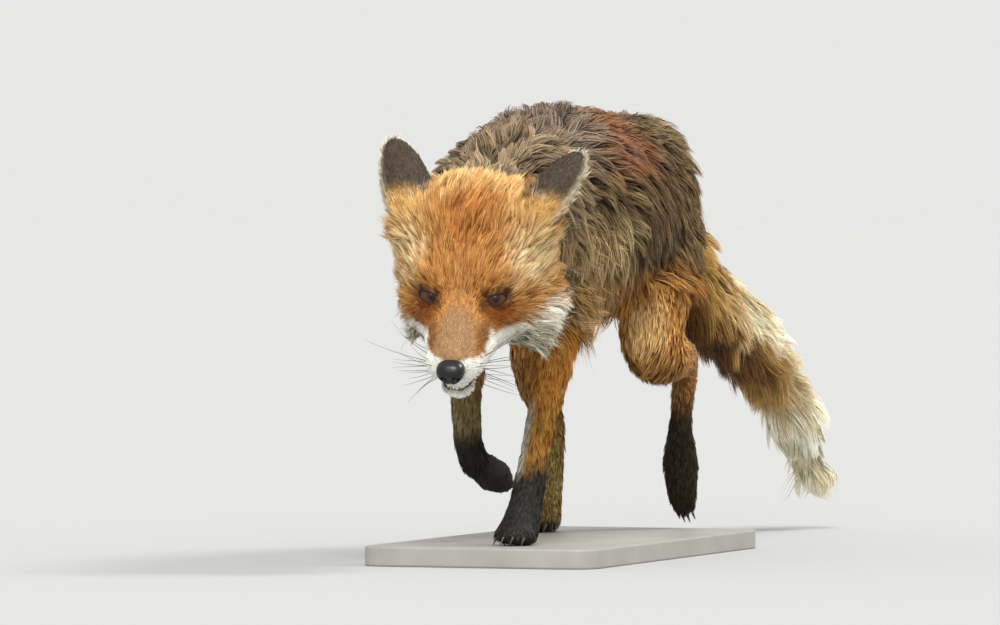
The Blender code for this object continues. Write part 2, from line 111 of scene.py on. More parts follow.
# Which way the hair lies on each node. The head, jaw and ears have their own rules.
LIE = {
    "neck": (0.0, 1.0, -0.1),
    "trunk": (0.0, 1.0, -0.02),
    "tail": (0.02, 0.85, -0.53),
    "tail_tip": (0.05, 0.5, -0.86),
    "fore_left_arm": (0.0, 0.1, -1.0),
    "fore_left_forearm": (-0.05, -0.15, -1.0),
    "fore_left_paw": (-0.05, -0.35, -1.0),
    "fore_right_arm": (0.0, 0.0, -1.0),
    "fore_right_forearm": (0.05, -0.1, -1.0),
    "fore_right_paw": (0.05, 0.95, -0.25),
    "hind_left_thigh": (0.1, -0.45, -0.9),
    "hind_left_shank": (0.0, 0.95, -0.3),
    "hind_left_paw": (-0.1, 0.2, -1.0),
    "hind_right_thigh": (-0.1, -0.4, -0.9),
    "hind_right_shank": (-0.05, 0.4, -0.9),
    "hind_right_paw": (0.0, -0.25, -1.0),
}


def linear(code):
    """A colour written as sRGB hex, as linear light."""
    values = [int(code[k : k + 2], 16) / 255 for k in (1, 3, 5)]
    return np.array([v / 12.92 if v <= 0.04045 else ((v + 0.055) / 1.055) ** 2.4 for v in values])


def unit(vectors):
    """Vectors brought to a length of one."""
    return vectors / np.maximum(np.linalg.norm(vectors, axis=-1, keepdims=True), 1e-9)


def dot(first, second):
    """The scalar products of two rows of vectors."""
    return (first * second).sum(axis=-1)


def flattened(ways, normals):
    """Ways laid along a surface, at a length of one."""
    return unit(ways - normals * dot(ways, normals)[..., None])


def turned(first, second, angle):
    """A way turned from the first toward the second."""
    return first * np.cos(angle)[..., None] + second * np.sin(angle)[..., None]


def away_from(places, middle):
    """How far places lie from a middle."""
    return np.linalg.norm(places - middle, axis=1)


def fade(values, start, end):
    """Rises smoothly from 0 at start to 1 at end."""
    part = np.clip((values - start) / (end - start), 0, 1)
    return part * part * (3 - 2 * part)


def to_world(places):
    """Places in the fox's frame, in millimetres, as world metres."""
    return (np.asarray(places, dtype=float) + np.array(WITHERS)) * MM


def node_centre(name):
    """The middle of a node's box, in the fox's frame."""
    low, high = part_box(name)
    return (low + high) / 2 / MM - WITHERS


def head_frame():
    """Midway between the eyes: columns that point forward along the muzzle, left and up."""
    left_eye, right_eye = node_centre("eye_left"), node_centre("eye_right")
    middle = (left_eye + right_eye) / 2
    left = (left_eye - right_eye).normalized()
    to_nose = (node_centre("nose") - middle).normalized()
    forward = Matrix.Rotation(-FACE_FORWARD, 3, left) @ to_nose
    forward = (forward - forward.project(left)).normalized()
    return middle, np.array((forward, left, forward.cross(left)))


HEAD_MIDDLE, HEAD_AXES = head_frame()


def in_head(places):
    """Places of the fox's frame as forward, left and up of the head's frame."""
    return (places - np.array(HEAD_MIDDLE)) @ HEAD_AXES.T


def from_head(places):
    """Places of the head's frame in the fox's frame."""
    return np.asarray(places, dtype=float) @ HEAD_AXES + np.array(HEAD_MIDDLE)


def from_side(way, side):
    """A way given in the head's frame for the left side, as it runs on either side of the fox."""
    return np.array((way[0], side * way[1], way[2])) @ HEAD_AXES


EYES = {side: np.array(node_centre("eye_" + name)) for side, name in SIDES}


# ---- objects


def new_object(name, mesh):
    """Links a mesh of world metres as an object at the origin."""
    shape = bpy.data.objects.new(name, mesh)
    bpy.context.scene.collection.objects.link(shape)
    return shape


def finished(name, bm, material):
    """Writes a bmesh of the fox's frame as a piece that rides on the body."""
    bmesh.ops.transform(bm, matrix=Matrix.Scale(MM, 4) @ Matrix.Translation(WITHERS), verts=bm.verts)
    mesh = bpy.data.meshes.new(name)
    bm.to_mesh(mesh)
    bm.free()
    mesh.shade_smooth()
    mesh.materials.append(material)
    shape = new_object(name, mesh)
    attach(shape, "root")
    return shape


def settle(shape):
    """Replaces an object's mesh by the one its modifiers give."""
    bpy.context.view_layer.update()
    seen = shape.evaluated_get(bpy.context.evaluated_depsgraph_get())
    shape.data = bpy.data.meshes.new_from_object(seen)
    shape.modifiers.clear()


def remesh(shape, turns):
    """Blends whatever overlaps in an object into one skin and rounds it."""
    voxels = shape.modifiers.new("skin", "REMESH")
    voxels.mode = "VOXEL"
    voxels.voxel_size = GRID * MM
    rounding = shape.modifiers.new("round", "SMOOTH")
    rounding.iterations = turns
    rounding.factor = 0.5
    settle(shape)


# ---- materials


class Look:
    """A material in the making, around its Principled shader. Sizes are in millimetres."""

    def __init__(self, name):
        self.material = bpy.data.materials.new(name)
        self.material.use_nodes = True
        self.tree = self.material.node_tree

    def wire(self, node, settings, links):
        """Sets a node's properties and sockets and links other nodes' outputs to it."""
        for name, value in settings.items():
            if isinstance(name, int) or name in node.inputs:
                node.inputs[name].default_value = value
            else:
                setattr(node, name, value)
        for name, source in links.items():
            self.tree.links.new(source, node.inputs[name])

    def add(self, kind, settings, links):
        """A new node, set and linked."""
        node = self.tree.nodes.new("ShaderNode" + kind)
        self.wire(node, settings, links)
        return node

    def texture(self, kind, size, **settings):
        """A pattern in the piece's own space, with features of this size."""
        place = self.add("TexCoord", {}, {}).outputs["Object"]
        return self.add("Tex" + kind, {"Scale": 1 / (size * MM), **settings}, {"Vector": place}).outputs[0]

    def span(self, value, low, high, start=0.0, end=1.0):
        """A value brought from one range to another."""
        ranges = {"From Min": start, "From Max": end, "To Min": low, "To Max": high}
        return self.add("MapRange", ranges, {"Value": value}).outputs["Result"]

    def ramp(self, value, *stops):
        """A colour that follows a value. Each stop is a value and its colour as sRGB hex."""
        node = self.add("ValToRGB", {}, {"Fac": value})
        elements = node.color_ramp.elements
        for k, (position, code) in enumerate(stops):
            stop = elements[k] if k < 2 else elements.new(position)
            stop.position, stop.color = position, (*linear(code), 1)
        return node.outputs["Color"]

    def bump(self, height, strength, rise):
        """A relief that stands this high."""
        settings = {"Strength": strength, "Distance": rise * MM}
        return self.add("Bump", settings, {"Height": height}).outputs["Normal"]

    def vector(self, operation, links, settings=None):
        """The outputs of a step of vector arithmetic."""
        return self.add("VectorMath", {"operation": operation, **(settings or {})}, links).outputs

    def coat(self, tone):
        """The coat's own colours, times a tone."""
        colour = self.add("Attribute", {"attribute_name": "coat"}, {}).outputs["Color"]
        return self.vector("SCALE", {"Vector": colour, "Scale": tone})["Vector"]

    def finish(self, settings, links):
        """Sets and links the shader, and gives the material."""
        self.wire(self.tree.nodes["Principled BSDF"], settings, links)
        return self.material


def hair_material():
    """Fox hair: keratin with a soft sheen, rough enough to scatter light, unevenly bleached and dusty."""
    look = Look("fox_hair_natural")
    tone = look.span(look.texture("Noise", 6, Detail=3.0), 0.86, 1.12, 0.3, 0.7)
    surface = {"Roughness": 0.6, "Specular IOR Level": 0.16, "Sheen Weight": 0.03, "Sheen Roughness": 0.5}
    return look.finish(surface, {"Base Color": look.coat(tone)})


def skin_material():
    """Hide under short flat fur: the coat's own colours, with a fine hair grain as bump."""
    look = Look("fox_hide_with_underfur")
    # Underfur is about 0.1 mm thick, drawn at 0.8 mm so that it shows.
    grain = look.texture("Noise", 0.8, Detail=4.0, Roughness=0.7)
    colour = look.coat(look.span(grain, 0.6, 1.05, 0.3, 0.7))
    links = {"Base Color": colour, "Normal": look.bump(grain, 0.5, 0.4)}
    return look.finish({"Roughness": 0.75, "Specular IOR Level": 0.25}, links)


def nose_material():
    """Moist nose leather: black skin in fine pebbles, glossy where it is wet."""
    look = Look("nose_leather_moist")
    pebbles = look.texture("Voronoi", 0.7, feature="DISTANCE_TO_EDGE")
    patches = look.texture("Noise", 5, Detail=2.0)
    links = {
        "Base Color": look.ramp(patches, (0.0, "#070606"), (1.0, "#141211")),
        "Roughness": look.span(patches, 0.28, 0.42),
        "Normal": look.bump(pebbles, 0.35, 0.25),
    }
    return look.finish({"Specular IOR Level": 0.3, "Coat Weight": 0.3, "Coat Roughness": 0.25}, links)


def rim_material():
    """Bare dark skin at the lids' edges: smooth, faintly wrinkled and slightly moist."""
    look = Look("lid_skin_dark")
    wrinkles = look.texture("Noise", 1.2, Detail=3.0)
    colour = look.ramp(wrinkles, (0.0, "#0c0908"), (1.0, "#211711"))
    links = {"Base Color": colour, "Normal": look.bump(wrinkles, 0.4, 0.15)}
    return look.finish({"Roughness": 0.5, "Specular IOR Level": 0.3}, links)


def horn_material():
    """Claw horn: dark keratin, paler where it has worn, with fine growth lines."""
    look = Look("claw_horn_worn")
    lines = look.texture("Noise", 0.9, Detail=2.0)
    colour = look.ramp(lines, (0.0, "#1d1814"), (1.0, "#4a3d31"))
    return look.finish({"Roughness": 0.38}, {"Base Color": colour, "Normal": look.bump(lines, 0.25, 0.1)})


def whisker_material():
    """Whiskers: stiff black keratin, smooth and a little glossy, paler in stretches."""
    look = Look("whisker_keratin")
    tone = look.texture("Noise", 12)
    colour = look.ramp(tone, (0.0, "#0c0b0a"), (1.0, "#2b2622"))
    return look.finish({"Roughness": 0.4}, {"Base Color": colour})


# The iris from the pupil's edge to the dark ring round it, by distance on the eye's map.
IRIS = (
    (0.10, "#2b180c"),
    (0.20, "#552e11"),
    (0.30, "#3a1f0c"),
    (0.36, "#120d0a"),
    (0.42, "#0f0b09"),
    (0.50, "#1c1512"),
)


def eye_material():
    """A polished eye: amber iris with fine fibres, upright pupil, dark ring and a clear wet coat over all.

    Its map has the pupil at the middle and the ball's outline, seen along the gaze, half a unit from it.
    """
    look = Look("eye_amber_polished")
    place = look.add("UVMap", {"uv_map": "gaze"}, {}).outputs["UV"]
    centred = look.vector("SUBTRACT", {0: place}, {1: (0.5, 0.5, 0.0)})["Vector"]
    away = look.vector("LENGTH", {0: centred})["Value"]
    # The fibres run outward, so their noise depends on the heading alone.
    heading = look.vector("NORMALIZE", {0: centred})["Vector"]
    fibres = look.add("TexNoise", {"Scale": 14.0, "Detail": 3.0}, {"Vector": heading}).outputs["Fac"]
    wobble = look.span(fibres, -0.035, 0.035)
    radius = look.add("Math", {"operation": "ADD"}, {0: away, 1: wobble}).outputs["Value"]
    narrow = look.vector("MULTIPLY", {0: centred}, {1: (1.7, 1.0, 1.0)})["Vector"]
    pupil = look.span(look.vector("LENGTH", {0: narrow})["Value"], 0.0, 1.0, 0.115, 0.145)
    settings = {"data_type": "RGBA", 6: (*linear("#060505"), 1)}
    colour = look.add("Mix", settings, {0: pupil, 7: look.ramp(radius, *IRIS)}).outputs[2]
    surface = {"Roughness": 0.25, "Specular IOR Level": 0.1, "Coat Weight": 0.45, "Coat Roughness": 0.03}
    return look.finish(surface, {"Base Color": colour})


def board_material():
    """Painted board: warm grey satin paint over fine roller stipple, a little paler where it has rubbed."""
    look = Look("board_satin_paint")
    stipple = look.texture("Noise", 1.5, Detail=2.0)
    patches = look.texture("Noise", 45, Detail=4.0)
    links = {
        "Base Color": look.ramp(patches, (0.3, "#94918a"), (0.7, "#a29f98")),
        "Roughness": look.span(patches, 0.42, 0.58),
        "Normal": look.bump(stipple, 0.2, 0.15),
    }
    return look.finish({}, links)


# ---- skin


class Skin:
    """The skin's mesh as arrays in the fox's frame, with the node that each point belongs to."""

    def __init__(self, mesh, finder):
        mesh.calc_loop_triangles()
        self.places = read(mesh.vertices, "co", 3) / MM - np.array(WITHERS)
        self.normals = read(mesh.vertex_normals, "vector", 3)
        self.triangles = read(mesh.loop_triangles, "vertices", 3, np.int32)
        self.edges = read(mesh.edges, "vertices", 2, np.int32)
        self.nodes = finder(self.places)
        self.head = in_head(self.places)

    def on(self, *names):
        """1 at the points nearest to these nodes and 0 elsewhere."""
        return np.isin(self.nodes, [FLESH.index(name) for name in names]).astype(float)

    def soft(self, turns, *names):
        """The same, evened out across the edge."""
        return self.spread(self.on(*names), turns)

    def spread(self, values, turns):
        """Evens out values over the skin: each turn, a point takes the mean of itself and its neighbours."""
        start = np.concatenate((self.edges[:, 0], self.edges[:, 1]))
        end = np.concatenate((self.edges[:, 1], self.edges[:, 0]))
        count = 1 + np.bincount(start, minlength=len(values))
        columns = values.reshape(len(values), -1).copy()
        for _ in range(turns):
            for k in range(columns.shape[1]):
                sums = np.bincount(start, columns[end, k], minlength=len(values))
                columns[:, k] = (columns[:, k] + sums) / count
        return columns.reshape(values.shape)

    def table(self, column):
        """A column of the coat's table at each point."""
        values = np.array([COAT[name][FIELDS.index(column)] for name in FLESH])
        return values[self.nodes]


def read(items, name, width, kind=np.float64):
    """A Blender collection's values as rows."""
    values = np.empty(len(items) * width, np.float32 if kind is np.float64 else kind)
    items.foreach_get(name, values)
    return values.reshape(-1, width).astype(kind)


def fill(items, name, values, kind=np.float32):
    """Writes rows of values into a Blender collection."""
    items.foreach_set(name, values.astype(kind).ravel())


def node_finder():
    """A function that gives the nearest flesh node of each place."""
    points, faces, owner = [], [], []
    for index, name in enumerate(FLESH):
        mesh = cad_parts[name].data
        start = len(points)
        points += [v.co / MM - WITHERS for v in mesh.vertices]
        faces += [[start + k for k in p.vertices] for p in mesh.polygons]
        owner += [index] * len(mesh.polygons)
    tree = BVHTree.FromPolygons(points, faces)
    return lambda places: np.array([owner[tree.find_nearest(p)[2]] for p in places])


def write_places(mesh, places):
    """Moves a mesh's points to places of the fox's frame."""
    fill(mesh.vertices, "co", to_world(places))
    mesh.update()


def write_colours(mesh, colours):
    """Gives each point of a mesh its colour of the coat."""
    opaque = np.concatenate((colours, np.ones((*colours.shape[:-1], 1))), axis=-1)
    fill(mesh.color_attributes.new("coat", "FLOAT_COLOR", "POINT").data, "color", opaque)


def coat_depth(skin):
    """How far the skin lies below the tips of the coat: least on the face, most in the ruff and the tail."""
    forward, left, up = skin.head.T
    face = fade(forward, -25, 15)
    ruff = fade(np.abs(left), 30, 54) * fade(up, 20, -10) * fade(forward, 4, -22)
    by_head = 6.0 * (1 - face) + 1.2 * face + 9.5 * ruff
    return skin.spread(np.where(skin.on("head") > 0, by_head, skin.table("depth")), 14)


def build_skin(finder):
    """Joins the flesh nodes and the lids into one skin, and draws it in by the coat's depth."""
    bm = bmesh.new()
    for name in FLESH:
        bm.from_mesh(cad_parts[name].data)
    bmesh.ops.remove_doubles(bm, verts=bm.verts, dist=0.01 * MM)
    for eye in EYES.values():
        place, radius = Matrix.Translation(to_world(eye)), (EYE_RADIUS + LID_SWELL) * MM
        bmesh.ops.create_uvsphere(bm, u_segments=24, v_segments=16, radius=radius, matrix=place)
    mesh = bpy.data.meshes.new("fox_skin")
    bm.to_mesh(mesh)
    bm.free()
    shape = new_object("fox_skin", mesh)
    swelling = shape.modifiers.new("close", "DISPLACE")
    swelling.mid_level = 0.0
    swelling.strength = CLOSING * MM
    remesh(shape, FIRST_ROUNDING)
    skin = Skin(shape.data, finder)
    write_places(shape.data, skin.places - skin.normals * coat_depth(skin)[:, None])
    remesh(shape, LAST_ROUNDING)
    return shape


def refine(shape, middle, reach):
    """Splits the faces near a place of the fox's frame in four."""
    bm = bmesh.new()
    bm.from_mesh(shape.data)
    centre = Vector(to_world(middle))
    near = [e for e in bm.edges if all((v.co - centre).length < reach * MM for v in e.verts)]
    bmesh.ops.subdivide_edges(bm, edges=near, cuts=1, use_grid_fill=True, smooth=0.3)
    bm.to_mesh(shape.data)
    bm.free()


# ---- eyes

# Each eye's opening on its ball: which way its middle faces in the head's frame, half its length, how far its
# edges rise above and fall below that middle, and how it slants.
EYE_LOOK = (0.82, 0.20, 0.52)
EYE_HALF_LENGTH = 8.8
EYE_RISE = 3.9
EYE_FALL = 4.6
EYE_SLANT = math.radians(15.0)
# How thick the lids are over the ball, how far the skin sinks behind the ball's front in the opening, and how
# roundly the lids' edges rise from the corners: 0.5 would be an ellipse.
LID_THICKNESS = 0.7
EYE_SINKING = 2.5
LID_CURVE = 0.58


def eye_axes(side):
    """The middle of an eye's opening, outward along its length, and up."""
    look = unit(from_side(EYE_LOOK, side))
    out = flattened(side * HEAD_AXES[1], look)
    slanted = turned(out, np.cross(look, out) * side, EYE_SLANT)
    return look, slanted, unit(np.cross(look, slanted) * side)


def on_eye(places, side):
    """How far places lie along an eye's opening and above its middle line, and from the ball's middle."""
    look, out, up = eye_axes(side)
    away = places - EYES[side]
    # Behind the ball's middle everything counts as far away.
    behind = np.where(dot(away, look) > 0, 1.0, 50.0)
    return dot(away, out) * behind, dot(away, up) * behind, np.linalg.norm(away, axis=1)


def lid_height(along, above):
    """How far the lid's edge lies above or below the middle line, at a place along the opening."""
    tall = np.where(above > 0, EYE_RISE, EYE_FALL)
    return tall * np.maximum(1 - (along / EYE_HALF_LENGTH) ** 2, 0) ** LID_CURVE


def round_opening(along, above, beside=1.0):
    """1 on an ellipse a little larger than the opening, less inside it and more outside."""
    tall = np.where(above > 0, EYE_RISE + 1, EYE_FALL + 1)
    return np.hypot(along / (EYE_HALF_LENGTH + beside), above / tall)


def open_lids(places):
    """Draws the skin over each eyeball as lids and sinks it behind the ball within the opening."""
    for side in EYES:
        along, above, distance = on_eye(places, side)
        ellipse = round_opening(along, above)
        inside = np.abs(above) < lid_height(along, above)
        lid = EYE_RADIUS + LID_THICKNESS + 0.5 * fade(ellipse, 1.0, 1.6)
        keep = fade(ellipse, 1.5, 2.3)
        wanted = np.where(inside, EYE_RADIUS - EYE_SINKING, distance * keep + lid * (1 - keep))
        near = (distance < EYE_RADIUS * 2.2) & (np.abs(along) < 40)
        wanted = np.where(near, wanted, distance)
        places = EYES[side] + (places - EYES[side]) * (wanted / np.maximum(distance, 1e-9))[:, None]
    return places


def eyelid_share(places):
    """1 where hair may grow and 0 on the lids' edges and in the openings."""
    share = np.ones(len(places))
    for side in EYES:
        along, above, _ = on_eye(places, side)
        # Hair grows nearer to the outer corner than to the inner one.
        beside = np.where(along > 0, 0.4, 1.4)
        share *= fade(round_opening(along, above, beside), 1.0, 1.12)
    return share


def make_eye(node, side, gaze, material):
    """An eye that stands for its node."""
    bm = bmesh.new()
    bmesh.ops.create_uvsphere(bm, u_segments=48, v_segments=32, radius=EYE_RADIUS)
    gaze = unit(gaze)
    across = unit(np.cross((0, 0, 1), gaze))
    upward = np.cross(gaze, across)
    turn = Matrix((across, upward, gaze)).transposed().to_4x4()
    gaze_map = bm.loops.layers.uv.new("gaze")
    for face in bm.faces:
        for loop in face.loops:
            x, y, z = loop.vert.co / EYE_RADIUS
            reach = math.acos(max(-1.0, min(1.0, z))) / math.pi
            flat = math.hypot(x, y) or 1.0
            loop[gaze_map].uv = (0.5 + reach * x / flat, 0.5 + reach * y / flat)
    bmesh.ops.transform(bm, matrix=Matrix.Translation(Vector(EYES[side])) @ turn, verts=bm.verts)
    shape = finished(node + "_ball", bm, material)
    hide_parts(node)


def tube(bm, points, radii, sides, closed=False):
    """Sweeps a round section along points, and caps its ends unless it is a closed ring."""
    points = [Vector(p) for p in points]
    count = len(points)
    rings = []
    side = None
    for k, point in enumerate(points):
        before = points[(k - 1) % count] if closed or k else point
        after = points[(k + 1) % count] if closed or k < count - 1 else point
        along = (after - before).normalized()
        side = side or along.orthogonal()
        side = (side - side.project(along)).normalized()
        other = along.cross(side)
        turns = [2 * math.pi * j / sides for j in range(sides)]
        ways = [side * math.cos(turn) + other * math.sin(turn) for turn in turns]
        rings.append([bm.verts.new(point + way * radii[k]) for way in ways])
    pairs = list(zip(rings, rings[1:]))
    if closed:
        pairs.append((rings[-1], rings[0]))
    for low, high in pairs:
        for j in range(sides):
            bm.faces.new((low[j], low[(j + 1) % sides], high[(j + 1) % sides], high[j]))
    if not closed:
        bm.faces.new(rings[0][::-1])
        bm.faces.new(rings[-1])


def make_lid_rim(name, side, material):
    """The dark edge of the lids, heavier above and drawn out at the inner corner into the tear duct."""
    look, out, up = eye_axes(side)
    points, radii = [], []
    steps = 56
    for k in range(steps):
        turn = 2 * math.pi * k / steps
        along = EYE_HALF_LENGTH * math.cos(turn)
        above = math.copysign(float(lid_height(along, math.sin(turn))), math.sin(turn))
        inner = max(0.0, -math.cos(turn)) ** 8
        along -= 2.6 * inner
        above -= 1.2 * inner
        flat = out * along + up * above
        rise = math.sqrt(max(EYE_RADIUS**2 - flat @ flat, 4.0))
        points.append(EYES[side] + unit(look * rise + flat) * (EYE_RADIUS + 0.25 + 0.5 * inner))
        radii.append(0.34 + 0.22 * max(0.0, math.sin(turn)) - 0.06 * inner)
    bm = bmesh.new()
    tube(bm, points, radii, 8, closed=True)
    bmesh.ops.recalc_face_normals(bm, faces=bm.faces)
    finished(name, bm, material)


# ---- markings

# The mouth's line: its corner in the head's frame, how it slopes and how it opens.
MOUTH_CORNER = (12.0, -40.0)
MOUTH_SLOPE = math.tan(math.radians(8.0))
MOUTH_OPENING = math.tan(math.radians(6.0))
# The skin's lips stand closer together than the jaws do, by this part of the opening.
LIP_CLOSING = 0.65


def mouth_line(forward):
    """The mouth's middle line and half its opening between the jaws, at places along the head."""
    ahead = np.maximum(forward - MOUTH_CORNER[0], 0)
    half = MOUTH_OPENING * ahead / 2
    return MOUTH_CORNER[1] - MOUTH_SLOPE * ahead - half, half


def close_lips(places):
    """Draws the skin above and below the mouth together."""
    head = in_head(places)
    forward, left, up = head.T
    middle, half = mouth_line(forward)
    above = up - middle
    beyond = np.maximum(np.abs(above) - half, 0)
    pull = np.clip(above, -half, half) * LIP_CLOSING * fade(beyond, 9, 0)
    by_mouth = (forward > MOUTH_CORNER[0]) & (forward < 80) & (np.abs(left) < 32)
    head[:, 2] -= np.where(by_mouth, pull, 0)
    return from_head(head)


def lip_distance(head):
    """How far places lie from the mouth's opening, in millimetres, and 0 within it."""
    forward, _, up = head.T
    middle, half = mouth_line(forward)
    outside = np.abs(up - middle) - half * (1 - LIP_CLOSING)
    return np.maximum(outside, 0) + np.maximum(MOUTH_CORNER[0] - forward, 0)


class Paint:
    """The coat's darkest and lightest shade at each place, laid on zone by zone."""

    def __init__(self, count, dark, light):
        self.dark = np.tile(linear(dark), (count, 1))
        self.light = np.tile(linear(light), (count, 1))

    def lay(self, share, dark, light):
        """Covers what lies below by these shades, as far as share says."""
        share = np.clip(share, 0, 1)[:, None]
        self.dark += (linear(dark) - self.dark) * share
        self.light += (linear(light) - self.light) * share

    def within(self, zone):
        """Gives a lay that keeps to a zone."""
        return lambda share, dark, light: self.lay(zone * share, dark, light)


def ball(places, middle, reach):
    """1 at a place, fading to 0 at its reach. The reach may differ along the three axes."""
    away = np.linalg.norm((places - np.array(middle)) / np.array(reach), axis=1)
    return fade(away, 1.0, 0.35)


def paint_body(paint, skin):
    """Grey-brown mantle over rust, an auburn stripe along the back, paler nape and dark flanks."""
    x, y, z = skin.places.T
    side = np.abs(skin.normals[:, 0])
    top = fade(skin.normals[:, 2], 0.4, 0.8)
    low = fade(z, 260, 225)
    paint.lay(fade(y, -40, 60), "#30210d", "#7d6440")
    paint.lay(top * fade(y, 60, 0), "#43362a", "#8b7762")
    paint.lay(fade(y, 140, 190) * (1 - low), "#49371d", "#957a4c")
    saddle = fade(z, 300, 318) * fade(y + 1.5 * np.abs(x), 15, 50) * fade(y, 105, 55)
    paint.lay(saddle * (0.8 + 0.2 * ripple(skin.places, 20.0, 15)), "#502a13", "#955e37")
    paint.lay(low * side * fade(y, -60, 30), "#5e3906", "#b27624")
    paint.lay(low * fade(y, 40, -40), "#5f4720", "#97713c")
    under = fade(skin.normals[:, 2], -0.55, -0.9)
    paint.lay(under * (1 - fade(y, 190, 260)), "#6d604a", "#b3a485")
    ripples = fade(ripple(skin.places, 38.0, 5), 0.1, 0.9) * side
    paint.lay(ripples * 0.6 * fade(y, -20, 60) * (1 - low), "#2a1d0a", "#5e4826")
    pale = fade(ripple(skin.places, 30.0, 9), 0.25, 1.0) * fade(y, -100, -40) * fade(y, 60, 0)
    shoulder = side * (1 - 0.7 * low) * fade(y, 20, -30) * fade(z, 300, 262)
    paint.lay((0.6 + 0.4 * pale) * shoulder, "#7a5f35", "#dabd8a")


def paint_neck(paint, skin):
    """Straw nape, grey sides and a whitish throat."""
    lay = paint.within(skin.soft(12, "neck"))
    lay(1, "#46351f", "#9a8056")
    lay(fade(skin.normals[:, 2], -0.2, 0.7), "#4a3a2a", "#a18a6b")
    lay(fade(skin.normals[:, 2], -0.3, -0.8), "#8f8571", "#cdc5b2")


def paint_tail(paint, skin):
    """Buff brush with a cream tip, darker beneath near its root as painted shade, and paler on its upper
    side, partly a cream edge and partly painted light from above and behind.
    """
    lay = paint.within(skin.soft(12, "tail", "tail_tip"))
    y = skin.places[:, 1]
    upper = skin.normals @ unit(np.array((0.3, 0.62, 0.72)))
    lay(1, "#916828", "#dcb063")
    # Painted shade: darker on the underside near the root, by the hind leg.
    lay(fade(upper, 0.0, -0.5) * fade(y, 580, 430), "#361d02", "#704610")
    # The cream edge along the upper side, made paler there as painted light from above and behind.
    lay(fade(upper, -0.2, 0.3) * fade(y, 350, 450), "#dcc894", "#fff6d8")
    lay(fade(y, 515, 590), "#dccfa0", "#fff8e2")


def paint_legs(paint, skin):
    """Orange-brown legs that turn black toward the paws, with a pale strip inside the planted foreleg and a
    painted highlight on the left thigh.
    """
    x, _, z = skin.places.T
    lay = paint.within(skin.soft(6, *FORELEGS))
    lay(1, "#734a17", "#b07e36")
    lay(fade(z, 105, 130), "#854d10", "#c88a3c")
    left = skin.on("fore_left_forearm", "fore_left_paw")
    inner = fade(-skin.normals[:, 0] - 0.4 * skin.normals[:, 1], 0.5, 0.9)
    paint.lay(left * inner * fade(z, 130, 100), "#98907c", "#cfc8b8")
    slope = z - 0.35 * (x - 22)
    paint.lay(skin.spread(left * fade(slope, 74, 56), 3), "#151310", "#38352f")
    right = skin.on("fore_right_forearm", "fore_right_paw")
    paint.lay(right * fade(z, 150, 120), "#5e4e2c", "#96835a")
    stocking = right * np.maximum(fade(z, 108, 84), skin.on("fore_right_paw"))
    paint.lay(skin.spread(stocking, 3), "#13110b", "#2e2b23")
    lay = paint.within(skin.soft(10, *HINDLEGS))
    lay(1, "#965f1c", "#e4a856")
    # Painted highlight: a paler patch down the middle of the left thigh.
    lay(ball(skin.places, (60, 95, 178), (40, 34, 50)) * 0.8, "#a8783c", "#f3cb8e")
    lay(fade(z, 165, 140), "#6e4310", "#b98546")
    cannon = skin.on("hind_left_paw")
    rear = fade(skin.normals[:, 1], 0.1, 0.7)
    paint.lay(skin.spread(cannon * fade(z, 128, 92) * (1 - rear * fade(z, 60, 90)), 3), "#15120a", "#382e1b")
    planted = skin.on("hind_right_paw", "hind_right_shank")
    paint.lay(planted * fade(z, 110, 70), "#6e5424", "#b09a5a")
    paint.lay(skin.spread(planted * fade(z, 18, 6) * (1 - 0.6 * rear), 3), "#1d190f", "#3c3222")


# Marks of the face, the last of them painted shade: middle and reach in the head's frame, how strongly they
# show, darkest and lightest shade.
# Their places to the left stand for both sides.
FACE_MARKS = (
    ((-34, 0, 40), (36, 22, 26), 1.0, "#74390a", "#d38d44"),
    ((-26, 44, 12), (34, 28, 26), 0.9, "#c48f56", "#ffe6b2"),
    ((10, 0, 12), (22, 15, 16), 1.0, "#74400f", "#c68c4c"),
    ((8, 24, -8), (24, 20, 22), 1.0, "#622c06", "#894b1a"),
    ((9, 17, 1), (15, 7, 14), 1.0, "#220d05", "#481c0a"),
    ((28, 18, -16), (20, 12, 14), 1.0, "#75441b", "#a4703f"),
    ((48, 0, -8), (38, 30, 28), 1.0, "#775535", "#ac855d"),
    ((38, 0, -2), (38, 15, 18), 0.7, "#7e5e3d", "#ae8861"),
    # Painted shade down the sides of the muzzle, where they turn away from the light.
    ((36, 21, -13), (22, 9, 14), 0.85, "#5a3412", "#8c5a28"),
)


